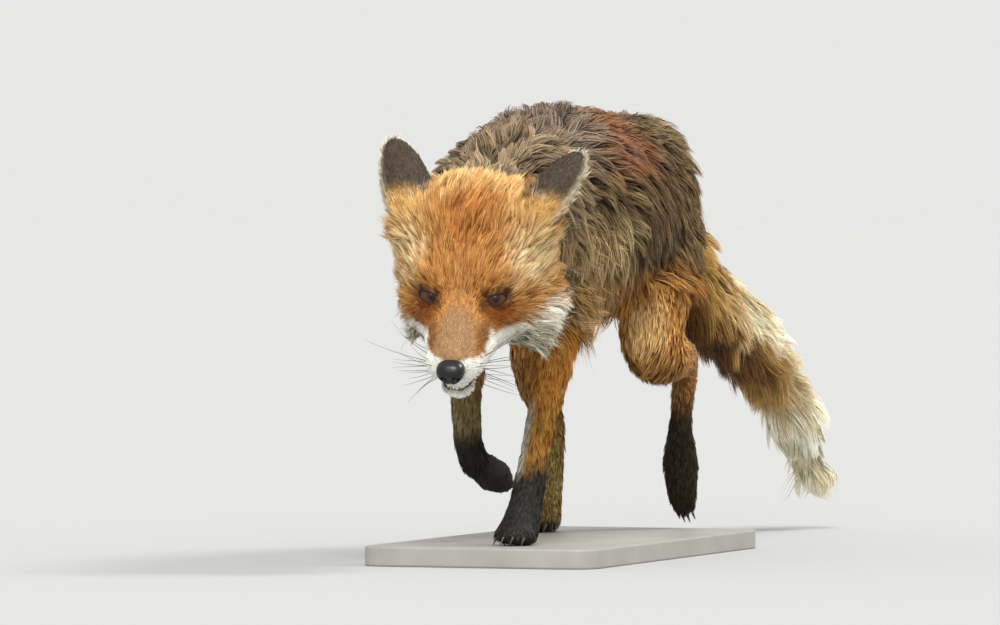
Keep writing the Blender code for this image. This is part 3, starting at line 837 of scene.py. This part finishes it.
def paint_head(paint, skin):
    """Rust forehead and eye patches, tan muzzle with painted shade down its sides, straw brows and cheeks,
    white lips, cheeks and throat.
    """
    lay = paint.within(skin.soft(5, "head", "jaw"))
    forward, left, up = skin.head.T
    wide = np.abs(left)
    paired = np.stack((forward, wide, up), axis=1)
    lay(1, "#824711", "#d39650")
    lay(fade(wide, 18, 44) * fade(forward, 10, -16), "#a26e31", "#e7bf7a")
    lay(fade(wide, 24, 42) * fade(up, 8, -6), "#824e17", "#cd9751")
    lay(fade(forward, -38, -70) * fade(up, 10, 30), "#a86c2c", "#f0c684")
    for middle, reach, strength, dark, light in FACE_MARKS:
        lay(ball(paired, middle, reach) * strength, dark, light)
    # White begins under a line that dips between the nose and the cheek.
    line = -16.0 - 7.0 * fade(forward, 31, 40) + 5.0 * fade(forward, 48, 58)
    line = line - 0.25 * np.clip(-12 - forward, 0, 60)
    line = line + 3.5 * ripple(skin.head, 7.0, 21) * fade(forward, 12, -6)
    white = fade(up, line + 2.0, line - 3.0)
    # The tan bridge narrows toward the nose, with white on both sides.
    half_bridge = 25 - 14 * np.exp((forward - 58) / 11) + 0.8 * ripple(skin.head, 5.0, 31)
    white = np.maximum(white, fade(wide, half_bridge - 1, half_bridge + 1.5) * fade(forward, 22, 30))
    lay(white, "#cfcaba", "#f3f2e8")
    ruff = fade(up, -14, -34) * fade(forward, 18, 0) * fade(wide, 24, 38)
    lay(ruff * 0.9, "#3c3620", "#efe6c4")
    lay(fade(up, -44, -60) * fade(forward, 10, -10), "#9b927c", "#d9d3c4")
    lay(ball(paired, (62, 0, -58), (20, 16, 12)), "#cfcab9", "#fffffa")
    lay(fade(lip_distance(skin.head), 1.6, 0.6) * fade(forward, 14, 22), "#1b1512", "#2c221c")


def paint_ears(paint, skin):
    """Dark frosted backs, golden roots and cream within and along the outer rim."""
    reach = -skin.head[:, 0]
    inner = fade(skin.ear_back, 0.05, -0.45)
    for name in ("ear_left", "ear_right"):
        lay = paint.within(skin.on(name))
        lay(1, "#1d160f", "#524537")
        lay(fade(reach, 82, 60), "#8d652d", "#d8a861")
        lay(inner, "#a89a78", "#eee4cc")
        lay(skin.ear_edge * 0.8, "#ab9a78", "#e8dcc0")


def paint_skin(skin):
    """All markings, zone by zone."""
    paint = Paint(len(skin.places), "#2a1e10", "#745e3a")
    paint_body(paint, skin)
    paint_neck(paint, skin)
    paint_tail(paint, skin)
    paint_legs(paint, skin)
    paint_head(paint, skin)
    paint_ears(paint, skin)
    for side in EYES:
        along, above, _ = on_eye(skin.places, side)
        paint.lay(fade(round_opening(along, above), 1.2, 1.04), "#37220f", "#663e1f")
        tear = fade(np.abs(above + 0.12 * (along + 9)), 2.6, 1.0)
        paint.lay(tear * fade(along, -7.5, -9) * fade(-along, 15.5, 12), "#150b06", "#2c180c")
    return paint


def ripple(places, size, seed):
    """A smooth number from about -1 to 1 that rises and falls over this many millimetres."""
    random = np.random.default_rng(seed)
    waves = random.normal(size=(6, 3)) * (2 * math.pi / size) / 1.7
    phases = random.random(6) * 2 * math.pi
    return np.sin(places @ waves.T + phases).sum(axis=1) / 2.4


# ---- the lie of the coat

# For the left ear, in the head's frame: which way it points, which way its back faces and how the hair of its
# outer rim turns outward.
EAR_WAY = (-0.92, 0.37, 0.14)
EAR_BACK = (0.3, -0.2, 0.9)
EAR_EDGE_WAY = (0.2, 0.8, 0.0)


def ear_fields(skin):
    """How far each point of an ear faces backward, and how near it is to the ear's outer rim."""
    skin.ear_back = np.zeros(len(skin.places))
    skin.ear_edge = np.zeros(len(skin.places))
    for side, name in SIDES:
        back, way = unit(from_side(EAR_BACK, side)), unit(from_side(EAR_WAY, side))
        out = flattened(unit(side * HEAD_AXES[1]), way)
        on_ear = skin.on("ear_" + name) > 0
        skin.ear_back = np.where(on_ear, skin.normals @ back, skin.ear_back)
        skin.ear_edge = np.where(on_ear, fade(skin.normals @ out, 0.55, 0.9), skin.ear_edge)


def comb(skin):
    """The way the hair lies at each point, along the skin."""
    ways = np.array([LIE.get(name, (0.0, 1.0, 0.0)) for name in FLESH])[skin.nodes]
    # The flanks' hair hangs, and the head's lies away from the nose.
    on_trunk = skin.on("trunk", "neck")[:, None]
    ways = ways + on_trunk * np.abs(skin.normals[:, :1]) * np.array((0.0, 0.0, -1.7))
    away = unit(skin.head - np.array((62.0, 0.0, -14.0)))
    away[:, 0] -= 0.25
    forward, left, up = skin.head.T
    cheek = fade(up, 4, -16) * fade(np.abs(left), 14, 32) * fade(forward, 42, 8)
    outward = np.stack((np.full(len(left), -0.2), 0.75 * np.sign(left), np.full(len(left), -0.75)), axis=1)
    away += (outward - away) * cheek[:, None]
    ways = np.where(skin.on("head", "jaw")[:, None] > 0, away @ HEAD_AXES, ways)
    for side, name in SIDES:
        outward = skin.ear_edge[:, None] * from_side(EAR_EDGE_WAY, side) * 0.6
        ways = np.where(skin.on("ear_" + name)[:, None] > 0, from_side(EAR_WAY, side) + outward, ways)
    return flattened(skin.spread(unit(ways), 10), skin.normals)


def coat_fields(skin):
    """Length, lift, tuft size, gathering and waving of the hair at each point."""
    forward, left, up = skin.head.T
    wide = np.abs(left)
    fields = {name: skin.table(name) for name in FIELDS if name != "depth"}
    on_head = skin.on("head") > 0
    face = fade(forward, -6, 22)
    ruff = fade(wide, 25, 46) * fade(up, 16, -10) * fade(forward, 14, -16)
    crown = fade(forward, -14, -52) * fade(up, 0, 24)
    by_head = {
        "length": 17.0 - 13.0 * face + 24.0 * ruff + 18.0 * crown,
        "lift": 20.0 - 8.0 * face - 5.0 * ruff + 22.0 * crown,
        "tuft": 2.4 - 0.6 * face + 3.0 * ruff + 0.6 * crown,
        "wave": 0.4 + 2.4 * ruff,
        "gather": 0.58 - 0.25 * face + 0.24 * ruff + 0.12 * crown,
    }
    fields = {name: np.where(on_head, by_head[name], values) for name, values in fields.items()}
    on_ear = skin.on("ear_left", "ear_right")
    fields["length"] += on_ear * (7.0 * skin.ear_edge + 6.0 * fade(skin.ear_back, 0.0, -0.5))
    fields = {name: skin.spread(values, 8) for name, values in fields.items()}
    eye = np.ones(len(skin.places))
    for middle in EYES.values():
        eye *= fade(away_from(skin.places, middle), 7, 19)
    fields["length"] = fields["length"] * (0.4 + 0.6 * eye)
    fields["lift"] = fields["lift"] * (0.55 + 0.45 * eye)
    return fields


def growing_share(skin):
    """How densely hair grows: nowhere on nose, lips and lids."""
    share = eyelid_share(skin.places)
    share *= fade(lip_distance(skin.head), 0.5, 1.2) + (skin.head[:, 0] < 14)
    share *= fade(away_from(skin.places, np.array(node_centre("nose"))), 9.6, 11.0)
    return np.clip(share, 0, 1)


# ---- hair


def sow(skin, share, count, random):
    """Roots spread over the skin as densely as share says: their triangles and their places in them."""
    a, b, c = (skin.places[skin.triangles[:, k]] for k in range(3))
    area = np.linalg.norm(np.cross(b - a, c - a), axis=1)
    total = np.cumsum(area * share[skin.triangles].mean(axis=1))
    steps = (np.arange(count) + random.random(count)) / count
    picked = skin.triangles[np.searchsorted(total, steps * total[-1])]
    first, second = random.random((2, count))
    over = first + second > 1
    first, second = np.where(over, 1 - first, first), np.where(over, 1 - second, second)
    return picked, np.stack((1 - first - second, first, second), axis=1)


def carried(values, roots):
    """A field of the skin's points at the roots."""
    picked, weights = roots
    if values.ndim == 1:
        return (values[picked] * weights).sum(axis=1)
    return (values[picked] * weights[:, :, None]).sum(axis=1)


# What mixes a cell's three numbers, so that cells side by side get unlike results.
MIXER = np.array(((12.99, 39.35, 73.16), (78.23, 11.14, 52.24), (37.72, 83.16, 9.15)))
MIXER_GAIN = 43758.5453


def scatter(cells, salt):
    """Three numbers from 0 to 1 for each cell, always the same for the same cell."""
    return np.modf(np.abs(np.sin(cells @ MIXER + salt)) * MIXER_GAIN)[0]


# These number each cell, as a piece spans fewer than a thousand cells each way.
CELL_KEY = np.array((1, 1000, 1000000))
KEY_START = 500500500


def tuft_of(places, size):
    """The number of the tuft that each place belongs to: the nearest of one random point in each cell."""
    cells = np.floor(places / size)
    best = np.full(len(places), np.inf)
    owner = np.zeros(len(places), np.int64)
    for shift in np.ndindex(3, 3, 3):
        near = cells + np.array(shift) - 1
        middle = (near + scatter(near, 0.5)) * size
        distance = ((middle - places) ** 2).sum(axis=1)
        nearer = distance < best
        best = np.where(nearer, distance, best)
        owner = np.where(nearer, (near @ CELL_KEY + KEY_START).astype(np.int64), owner)
    return np.unique(owner, return_inverse=True)[1]


def mean_by(groups, values):
    """Each row's mean over its group."""
    count = np.bincount(groups)
    columns = values.reshape(len(values), -1)
    means = np.stack([np.bincount(groups, column) / count for column in columns.T], axis=1)
    return means[groups].reshape(values.shape)


def chart(places, nodes, ways):
    """Each root's place on an unwrap of the skin: round and along each node, in a strip of its own."""
    found = np.zeros((len(places), 2))
    names = np.unique(nodes)
    for k, node in enumerate(names):
        held = nodes == node
        away = places[held] - places[held].mean(axis=0)
        along = unit(ways[held].mean(axis=0))
        side = unit(np.cross(along, (0.31, 0.17, 0.93)))
        around = np.arctan2(away @ np.cross(along, side), away @ side)
        for axis, values in enumerate((around, away @ along)):
            found[held, axis] = (values - values.min()) / max(np.ptp(values), 1e-6)
        found[held, 0] = (k + 0.01 + 0.98 * found[held, 0]) / len(names)
    return MARGIN + found * (1 - 3 * MARGIN)


# How wide a strand is at its stations, as parts of its full width. It ends in a point.
OUTLINES = {
    3: (0.85, 0.9),
    4: (0.75, 1.0, 0.62),
    5: (0.7, 1.0, 0.85, 0.5),
    7: (0.7, 1.0, 1.0, 0.85, 0.65, 0.35),
}
# How much of the map one strand takes up, and the map's margin.
PATCH = 0.003
MARGIN = 0.004
# A strand leaves the skin at the first times its lift and ends at the second times it.
LIFT_AT_ROOT = 1.7
LIFT_AT_TIP = 0.3
# How deep its root sits, how strongly long hair bends down, and how a wisp's pull compares with its tuft's.
ROOT_DEPTH = 0.4
SAG = 0.34
WISP_PULL = 0.6
# A strand's shading mixes the skin's normal, the blade's own and a lean to either side.
SHADING = (0.75, 0.45, 0.4)


def grow(skin, random, share, count, stations, width, coarse=1.0, curl=0.0, stretch=1.0, glow=1.0):
    """Strands as arrays: their points, their widths, the way each faces and their colours.

    Coarse widens the tufts, curl adds waves, stretch lengthens the hair and glow brightens it as painted
    light.
    """
    roots = sow(skin, share, count, random)
    place, normal = carried(skin.places, roots), unit(carried(skin.normals, roots))
    way = flattened(carried(skin.comb, roots), normal)
    field = {name: carried(values, roots) for name, values in skin.fields.items()}
    side = np.cross(normal, way)
    size = np.median(field["tuft"]) * coarse
    tuft, wisp = tuft_of(place, size), tuft_of(place + 500, size * 0.42)
    tone = scatter(tuft[:, None] * np.array((1.0, 0.37, 0.11)), 0.3)
    finer = scatter(wisp[:, None] * np.array((0.83, 0.29, 0.17)), 0.7)[:, :1]
    sway = 0.3 * ripple(place, 46.0, 11) + 0.2 * ripple(place, 17.0, 12) + 0.2 * (tone[:, 2] - 0.5)
    sway = sway * fade(field["length"], 6, 26) + random.normal(0, 0.15, count)
    way = unit(way + side * sway[:, None])
    length = field["length"] * random.uniform(0.62, 1.15, count) * (0.8 + 0.4 * tone[:, 0]) * stretch
    lift = np.radians(field["lift"]) * (0.6 + 0.8 * tone[:, 2])
    lift = lift * np.clip(random.normal(1, 0.2, count), 0.4, 1.7)
    start = turned(way, normal, LIFT_AT_ROOT * lift)
    fall = fade(length, 18, 60)[:, None] * np.array((0.0, 0.0, -SAG))
    end = unit(turned(way, normal, LIFT_AT_TIP * lift) + fall)
    part = np.linspace(0, 1, stations)
    line = start[:, None] * part[:, None] + (end - start)[:, None] * (part**2 / 2)[:, None]
    line = place[:, None] - normal[:, None] * ROOT_DEPTH + line * length[:, None, None]
    for group, strength in ((wisp, WISP_PULL), (tuft, 1.0)):
        pull = strength * field["gather"][:, None] * part**1.25
        line += (mean_by(group, line) - line) * pull[:, :, None]
    phase = (tone[:, 0] * 2 * math.pi)[:, None]
    wave = field["wave"][:, None] * part
    waving = wave * (1 + curl * 5) * np.sin(phase + part * (5.5 + curl * 6))
    bowing = wave * (0.5 + curl * 4) * np.cos(phase + part * (5.0 + curl * 6))
    line += side[:, None] * waving[:, :, None] + normal[:, None] * np.maximum(bowing, -0.3)[:, :, None]

    roll = random.normal(0, 0.5, count)
    facing = unit(turned(normal, side, roll))
    thick = width * random.uniform(0.75, 1.25, count)
    deep, fine = fade(field["length"], 12, 36)[:, None], fade(field["length"], 9, 4)[:, None]
    shade = 0.14 + 0.66 * part[None, :] ** 0.8 + 0.24 * fine
    shade = shade + (0.5 + 0.3 * deep) * (tone[:, 1:2] - 0.5) + (0.9 - 0.4 * fine) * (finer - 0.5)
    shade = shade + random.normal(0, 0.18, count)[:, None]
    dark, light = carried(skin.paint.dark, roots), carried(skin.paint.light, roots)
    colour = dark[:, None] + (light - dark)[:, None] * np.clip(shade, -0.15, 1.25)[:, :, None]
    # Painted shade: the root half of each strand is darkened, more in long hair and less in short, for the
    # shade deep in the coat.
    gloom = 0.58 + 0.14 * deep - 0.3 * fine
    shadow = gloom * (1 - np.minimum(part / 0.5, 1))[None, :]
    bright = np.exp(random.normal(0, 0.08, count))[:, None] * (1 - shadow) * glow
    colour = np.clip(colour * bright[:, :, None], 0.002, 0.95)
    nodes = skin.nodes[roots[0][:, 0]]
    return {
        "line": line, "facing": facing, "normal": normal, "thick": thick, "colour": colour,
        "chart": chart(place, nodes, way),
    }


def hair_mesh(name, hair):
    """Joins strands into one mesh of flat tapered blades, with their colours, map and soft normals."""
    line = hair["line"]
    count, stations = line.shape[:2]
    pairs = stations - 1
    size = 2 * pairs + 1
    along = unit(np.gradient(line, axis=1))
    across = unit(np.cross(along, hair["facing"][:, None]))
    half = hair["thick"][:, None] * np.array(OUTLINES[stations]) / 2
    edges = across[:, :pairs] * half[:, :, None]

    def by_point(values, offset=0.0):
        """Values of the stations at the blade's points, two at each station and one at its tip."""
        spread = np.empty((count, size, values.shape[-1]))
        spread[:, 0:-1:2] = values[:, :pairs] - offset
        spread[:, 1::2] = values[:, :pairs] + offset
        spread[:, -1] = values[:, -1]
        return spread

    quads = [(2 * k, 2 * k + 1, 2 * k + 3, 2 * k + 2) for k in range(pairs - 1)]
    corners = np.array([c for quad in quads for c in quad] + [2 * pairs - 2, 2 * pairs - 1, 2 * pairs])
    loops = (np.arange(count)[:, None] * size + corners).ravel()
    totals = np.tile(np.array([4] * len(quads) + [3]), count)
    mesh = bpy.data.meshes.new(name)
    mesh.vertices.add(count * size)
    mesh.loops.add(len(loops))
    mesh.polygons.add(len(totals))
    fill(mesh.vertices, "co", to_world(by_point(line, edges)))
    fill(mesh.loops, "vertex_index", loops, np.int32)
    fill(mesh.polygons, "loop_start", np.concatenate(([0], np.cumsum(totals)[:-1])), np.int32)
    fill(mesh.polygons, "loop_total", totals, np.int32)
    mesh.update(calc_edges=True)
    write_colours(mesh, by_point(hair["colour"]))

    steps = np.repeat(np.arange(stations), 2)[:size] / pairs
    sides = np.tile((-0.5, 0.5), stations)[:size]
    steps[-1], sides[-1] = 1.0, 0.0
    places = hair["chart"][:, None] + PATCH * np.stack((sides, steps), axis=1)[None]
    fill(mesh.uv_layers.new(name="OFBake").data, "uv", places.reshape(-1, 2)[loops])

    outward = by_point(np.broadcast_to(hair["normal"][:, None], line.shape))
    blade = by_point(unit(np.cross(across, along)))
    lean = by_point(across) * (2 * sides)[None, :, None]
    soft = unit(outward * SHADING[0] + blade * SHADING[1] + lean * SHADING[2]).reshape(-1, 3)
    mesh.shade_smooth()
    mesh.normals_split_custom_set_from_vertices(soft.astype(np.float32))
    return mesh


def add_coat(name, skin, material, slot, seed, share, count, stations, width, **habit):
    """Grows one piece of the coat."""
    random = np.random.default_rng(seed)
    hair = grow(skin, random, share * skin.share, count, stations, width, **habit)
    mesh = hair_mesh(name, hair)
    mesh.materials.append(material)
    shape = new_object(name, mesh)
    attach(shape, "root")


# ---- nose, whiskers, claws

NOSE_RADII = (9.0, 11.5, 9.5)


def make_nose(material):
    """The nose pad: a squared-off ball with comma-shaped nostrils and a groove down its middle."""
    bm = bmesh.new()
    bmesh.ops.create_uvsphere(bm, u_segments=72, v_segments=48, radius=1.0)
    for vertex in bm.verts:
        x, y, z = (math.copysign(abs(c) ** 0.8, c) for c in vertex.co)
        narrow = 1.0 + 0.05 * max(z, 0) - 0.34 * max(-z, 0)
        place = Vector((x * NOSE_RADII[0], y * NOSE_RADII[1] * narrow, z * NOSE_RADII[2]))
        wide = abs(place.y)
        # The hole, and the slit that runs from it outward.
        hole = math.hypot(wide - 4.6, (place.z + 1.6) * 0.9) / 2.9
        slit = max(abs(place.z + 1.4 - 0.35 * (wide - 6)) / 1.1, abs(wide - 7.8) / 3.4)
        dent = 4.2 * max(0.0, 1 - hole**2) + 2.2 * max(0.0, 1 - slit**2)
        groove = 1.0 * math.exp(-((place.y / 0.9) ** 2)) * (1 if place.z < 1 else 0)
        if place.x > 0:
            place.x -= dent + groove
        vertex.co = place
    bmesh.ops.smooth_vert(bm, verts=bm.verts, factor=0.5, use_axis_x=True, use_axis_y=True, use_axis_z=True)
    columns = Matrix([tuple(axis) for axis in HEAD_AXES]).transposed().to_4x4()
    bmesh.ops.transform(bm, matrix=Matrix.Translation(node_centre("nose")) @ columns, verts=bm.verts)
    shape = finished("nose_pad", bm, material)
    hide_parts("nose")


def make_whiskers(material):
    """Stiff black whiskers from both lip pads, in rows, curving back and down."""
    random = np.random.default_rng(31)
    bm = bmesh.new()
    for side in (-1, 1):
        for row in range(4):
            for k in range(3 if row % 2 else 4):
                root = np.array((57 - 5.2 * k, side * (12.0 + 1.6 * k), -25.0 - 3.4 * row - 0.6 * k))
                length = random.uniform(26, 48) + 7.5 * k
                rise = 0.32 - 0.34 * row + random.normal(0, 0.16)
                way = unit(np.array((0.15 - 0.2 * k + random.normal(0, 0.1), side * 1.0, rise)))
                bend = np.array((-0.5, -0.1 * side, -0.3)) + random.normal(0, 0.22, 3)
                steps = np.linspace(0, 1, 9)[:, None]
                points = from_head(root + length * (way * steps + bend * steps**2 * 0.5))
                tube(bm, points, [0.32 * (1 - 0.85 * s) for s in steps[:, 0]], 5)
    bmesh.ops.recalc_face_normals(bm, faces=bm.faces)
    finished("whiskers", bm, material)


def make_claws(material):
    """Smooth horns in place of each paw's four claws."""
    for paw in PAWS:
        names = [f"claw_{paw}_{k}" for k in (1, 2, 3, 4)]
        bm = bmesh.new()
        for name in names:
            bm.from_mesh(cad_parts[name].data)
        bmesh.ops.remove_doubles(bm, verts=bm.verts, dist=0.005 * MM)
        bmesh.ops.transform(bm, matrix=Matrix.Translation(-WITHERS) @ Matrix.Scale(1 / MM, 4), verts=bm.verts)
        shape = finished(f"claws_{paw}", bm, material)
        rounding = shape.modifiers.new("round", "SUBSURF")
        rounding.levels = rounding.render_levels = 2
        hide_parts(*names)


# ---- the fox


# Where the skin's grid is finer: round the middle of the face, in the head's frame, and more so by the eyes.
FACE_MIDDLE = (20.0, 0.0, -12.0)
FACE_REACH = 54
EYE_REACH = 16


def sculpt(shape, finder):
    """Refines the face and shapes the lids and the lips."""
    refine(shape, from_head(FACE_MIDDLE), FACE_REACH)
    for eye in EYES.values():
        refine(shape, eye, EYE_REACH)
    skin = Skin(shape.data, finder)
    write_places(shape.data, close_lips(open_lids(skin.places)))


def dress_skin(shape, skin, material):
    """Gives the skin the coat's own markings, darkened partly as underfur is and partly as painted shade
    between the hairs, more under long hair than under short.
    """
    fine = fade(skin.fields["length"], 9, 4)[:, None]
    write_colours(shape.data, skin.paint.dark * (0.45 + 0.1 * fine) + skin.paint.light * (0.15 + 0.3 * fine))
    shape.data.materials.clear()
    shape.data.materials.append(material)
    shape.data.shade_smooth()
    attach(shape, "root")
    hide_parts(*FLESH)


# The first seed of the coat's pieces, and the seed of its loose wisps.
COAT_SEED = 100
WISP_SEED = 90


def add_coats(skin, material):
    """Grows the coat, piece by piece."""
    forward, left, up = skin.head.T
    on_head, front = skin.on("head"), (forward > -8).astype(float)
    rear, upper = on_head * (1 - front), (up > 4).astype(float)
    x, y, z = skin.places.T
    ahead = (y < 95).astype(float)
    by_eyes = sum(fade(away_from(skin.places, eye), 20, 13) for eye in EYES.values())
    dense = 1 + 1.2 * fade(np.abs(left), 60, 30) + 1.5 * by_eyes
    # Name, slot, where it grows, how many strands, stations to a strand, a strand's width and its habit.
    coats = (
        ("coat_face", "coat_red", on_head * front * dense, 44000, 3, 0.5, {}),
        ("coat_crown", "coat_red", rear * upper, 38000, 4, 0.5, {}),
        ("coat_cheeks", "coat_cream", rear * (1 - upper) + skin.on("jaw"), 38000, 4, 0.5, {}),
        ("coat_ears", "coat_black", skin.on("ear_left", "ear_right"), 24000, 3, 0.5, {}),
        ("coat_neck", "coat_grey", skin.on("neck"), 20000, 5, 0.95, {}),
        ("coat_shoulders", "coat_grey", skin.on("trunk") * ahead, 25000, 5, 1.05, {}),
        ("coat_loins", "coat_grey", skin.on("trunk") * (1 - ahead), 25000, 5, 1.05, {}),
        ("coat_tail", "coat_cream", skin.on("tail"), 20000, 5, 0.95, {}),
        ("coat_brush", "coat_cream", skin.on("tail_tip"), 6500, 5, 0.9, {"stretch": 1.05}),
        ("coat_forelegs", "coat_black", skin.on(*FORELEGS), 32000, 3, 0.7, {}),
        ("coat_hindlegs", "coat_red", skin.on(*HINDLEGS), 38000, 3, 0.75, {}),
    )
    for seed, (name, slot, share, count, stations, width, habit) in enumerate(coats, COAT_SEED):
        add_coat(name, skin, material, slot, seed, share, count, stations, width, **habit)
    # Loose pale wisps, brightened by glow as painted light: a few on the head, more over the nape and beside
    # the shoulder.
    beside = (skin.on("neck") + skin.on("trunk")) * fade(y, -10, -50) * fade(x, 15, 40) * fade(z, 290, 262)
    crest = on_head * fade(forward, -45, -60) * fade(up, 15, 25)
    wisp = rear * 0.3 + crest * 3 + beside * 2.5
    habit = {"coarse": 1.6, "curl": 0.3, "stretch": 1.2, "glow": 1.8}
    add_coat("coat_wisps", skin, material, "coat_cream", WISP_SEED, wisp, 1300, 7, 0.4, **habit)


def make_fox(gaze):
    """Skin, coat, eyes, nose, whiskers and claws."""
    finder = node_finder()
    shape = build_skin(finder)
    sculpt(shape, finder)
    skin = Skin(shape.data, finder)
    ear_fields(skin)
    skin.paint = paint_skin(skin)
    skin.comb = comb(skin)
    skin.fields = coat_fields(skin)
    skin.share = growing_share(skin)
    dress_skin(shape, skin, skin_material())

    add_coats(skin, hair_material())
    eye, rim = eye_material(), rim_material()
    for side, name in SIDES:
        make_eye("eye_" + name, side, gaze, eye)
        make_lid_rim(f"eye_{name}_rim", side, rim)
    make_nose(nose_material())
    make_whiskers(whisker_material())
    make_claws(horn_material())
    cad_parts["stand_base"].data.materials.clear()
    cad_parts["stand_base"].data.materials.append(board_material())


# ---- camera, floor and light

VIEW_TURN = math.radians(20.0)
VIEW_DROP = math.radians(0.676)
VIEW_LENS = 270.0
# Where the camera stands from the withers: to its own right, ahead along its level line of sight, and above.
VIEW_PLACE = (-37.0, -6180.0, 260.0)

# Each light's source, how many degrees it spans and its power.
SUNS = {
    "key": ((0.3, -0.95, 1.25), 22.0, 2.4),
    "rim": ((0.9, 0.7, 1.2), 15.0, 1.5),
    "fill": ((0.3, -1.0, 0.25), 50.0, 0.6),
    "catchlight": ((0.22, -1.0, 0.3), 14.0, 0.28),
}
SURROUND = 0.8


def add_camera():
    """A long lens low in front of the fox, to the fox's left of straight ahead."""
    right = Vector((math.cos(VIEW_TURN), math.sin(VIEW_TURN), 0))
    ahead = Vector((-math.sin(VIEW_TURN), math.cos(VIEW_TURN), 0))
    place = right * VIEW_PLACE[0] + ahead * VIEW_PLACE[1] + Vector((0, 0, VIEW_PLACE[2]))
    data = bpy.data.cameras.new("camera")
    data.lens = VIEW_LENS
    data.sensor_width = 36.0
    data.clip_end = 1000.0
    camera = new_object("camera", data)
    camera.location = (place + WITHERS) * MM
    look = ahead * math.cos(VIEW_DROP) - Vector((0, 0, math.sin(VIEW_DROP)))
    camera.rotation_euler = look.to_track_quat("-Z", "Y").to_euler()
    bpy.context.scene.camera = camera
    return -np.array(ahead)


def add_sun(name, source, softness, power):
    """Light from far off, as soft as the angle its source spans."""
    data = bpy.data.lights.new(name, "SUN")
    data.angle = math.radians(softness)
    data.energy = power
    lamp = new_object(name, data)
    lamp.rotation_euler = Vector(source).to_track_quat("Z", "Y").to_euler()


def add_studio():
    """A plain pale floor that fades into a plain pale surround, under soft light from above and in front."""
    bm = bmesh.new()
    bmesh.ops.create_grid(bm, x_segments=1, y_segments=1, size=400.0)
    mesh = bpy.data.meshes.new("floor")
    bm.to_mesh(mesh)
    bm.free()
    surface = {"Base Color": (*linear("#b1b1b0"), 1), "Roughness": 0.9, "Specular IOR Level": 0.1}
    mesh.materials.append(Look("floor_matt_pale").finish(surface, {}))
    new_object("floor", mesh)
    world = bpy.data.worlds.new("studio")
    bpy.context.scene.world = world
    world.use_nodes = True
    background = world.node_tree.nodes["Background"].inputs
    background["Color"].default_value = (1.0, 1.0, 0.99, 1)
    background["Strength"].default_value = SURROUND
    for name, light in SUNS.items():
        add_sun(name, *light)
    bpy.context.scene.view_settings.view_transform = "Standard"


toward_camera = add_camera()
add_studio()
make_fox(toward_camera)
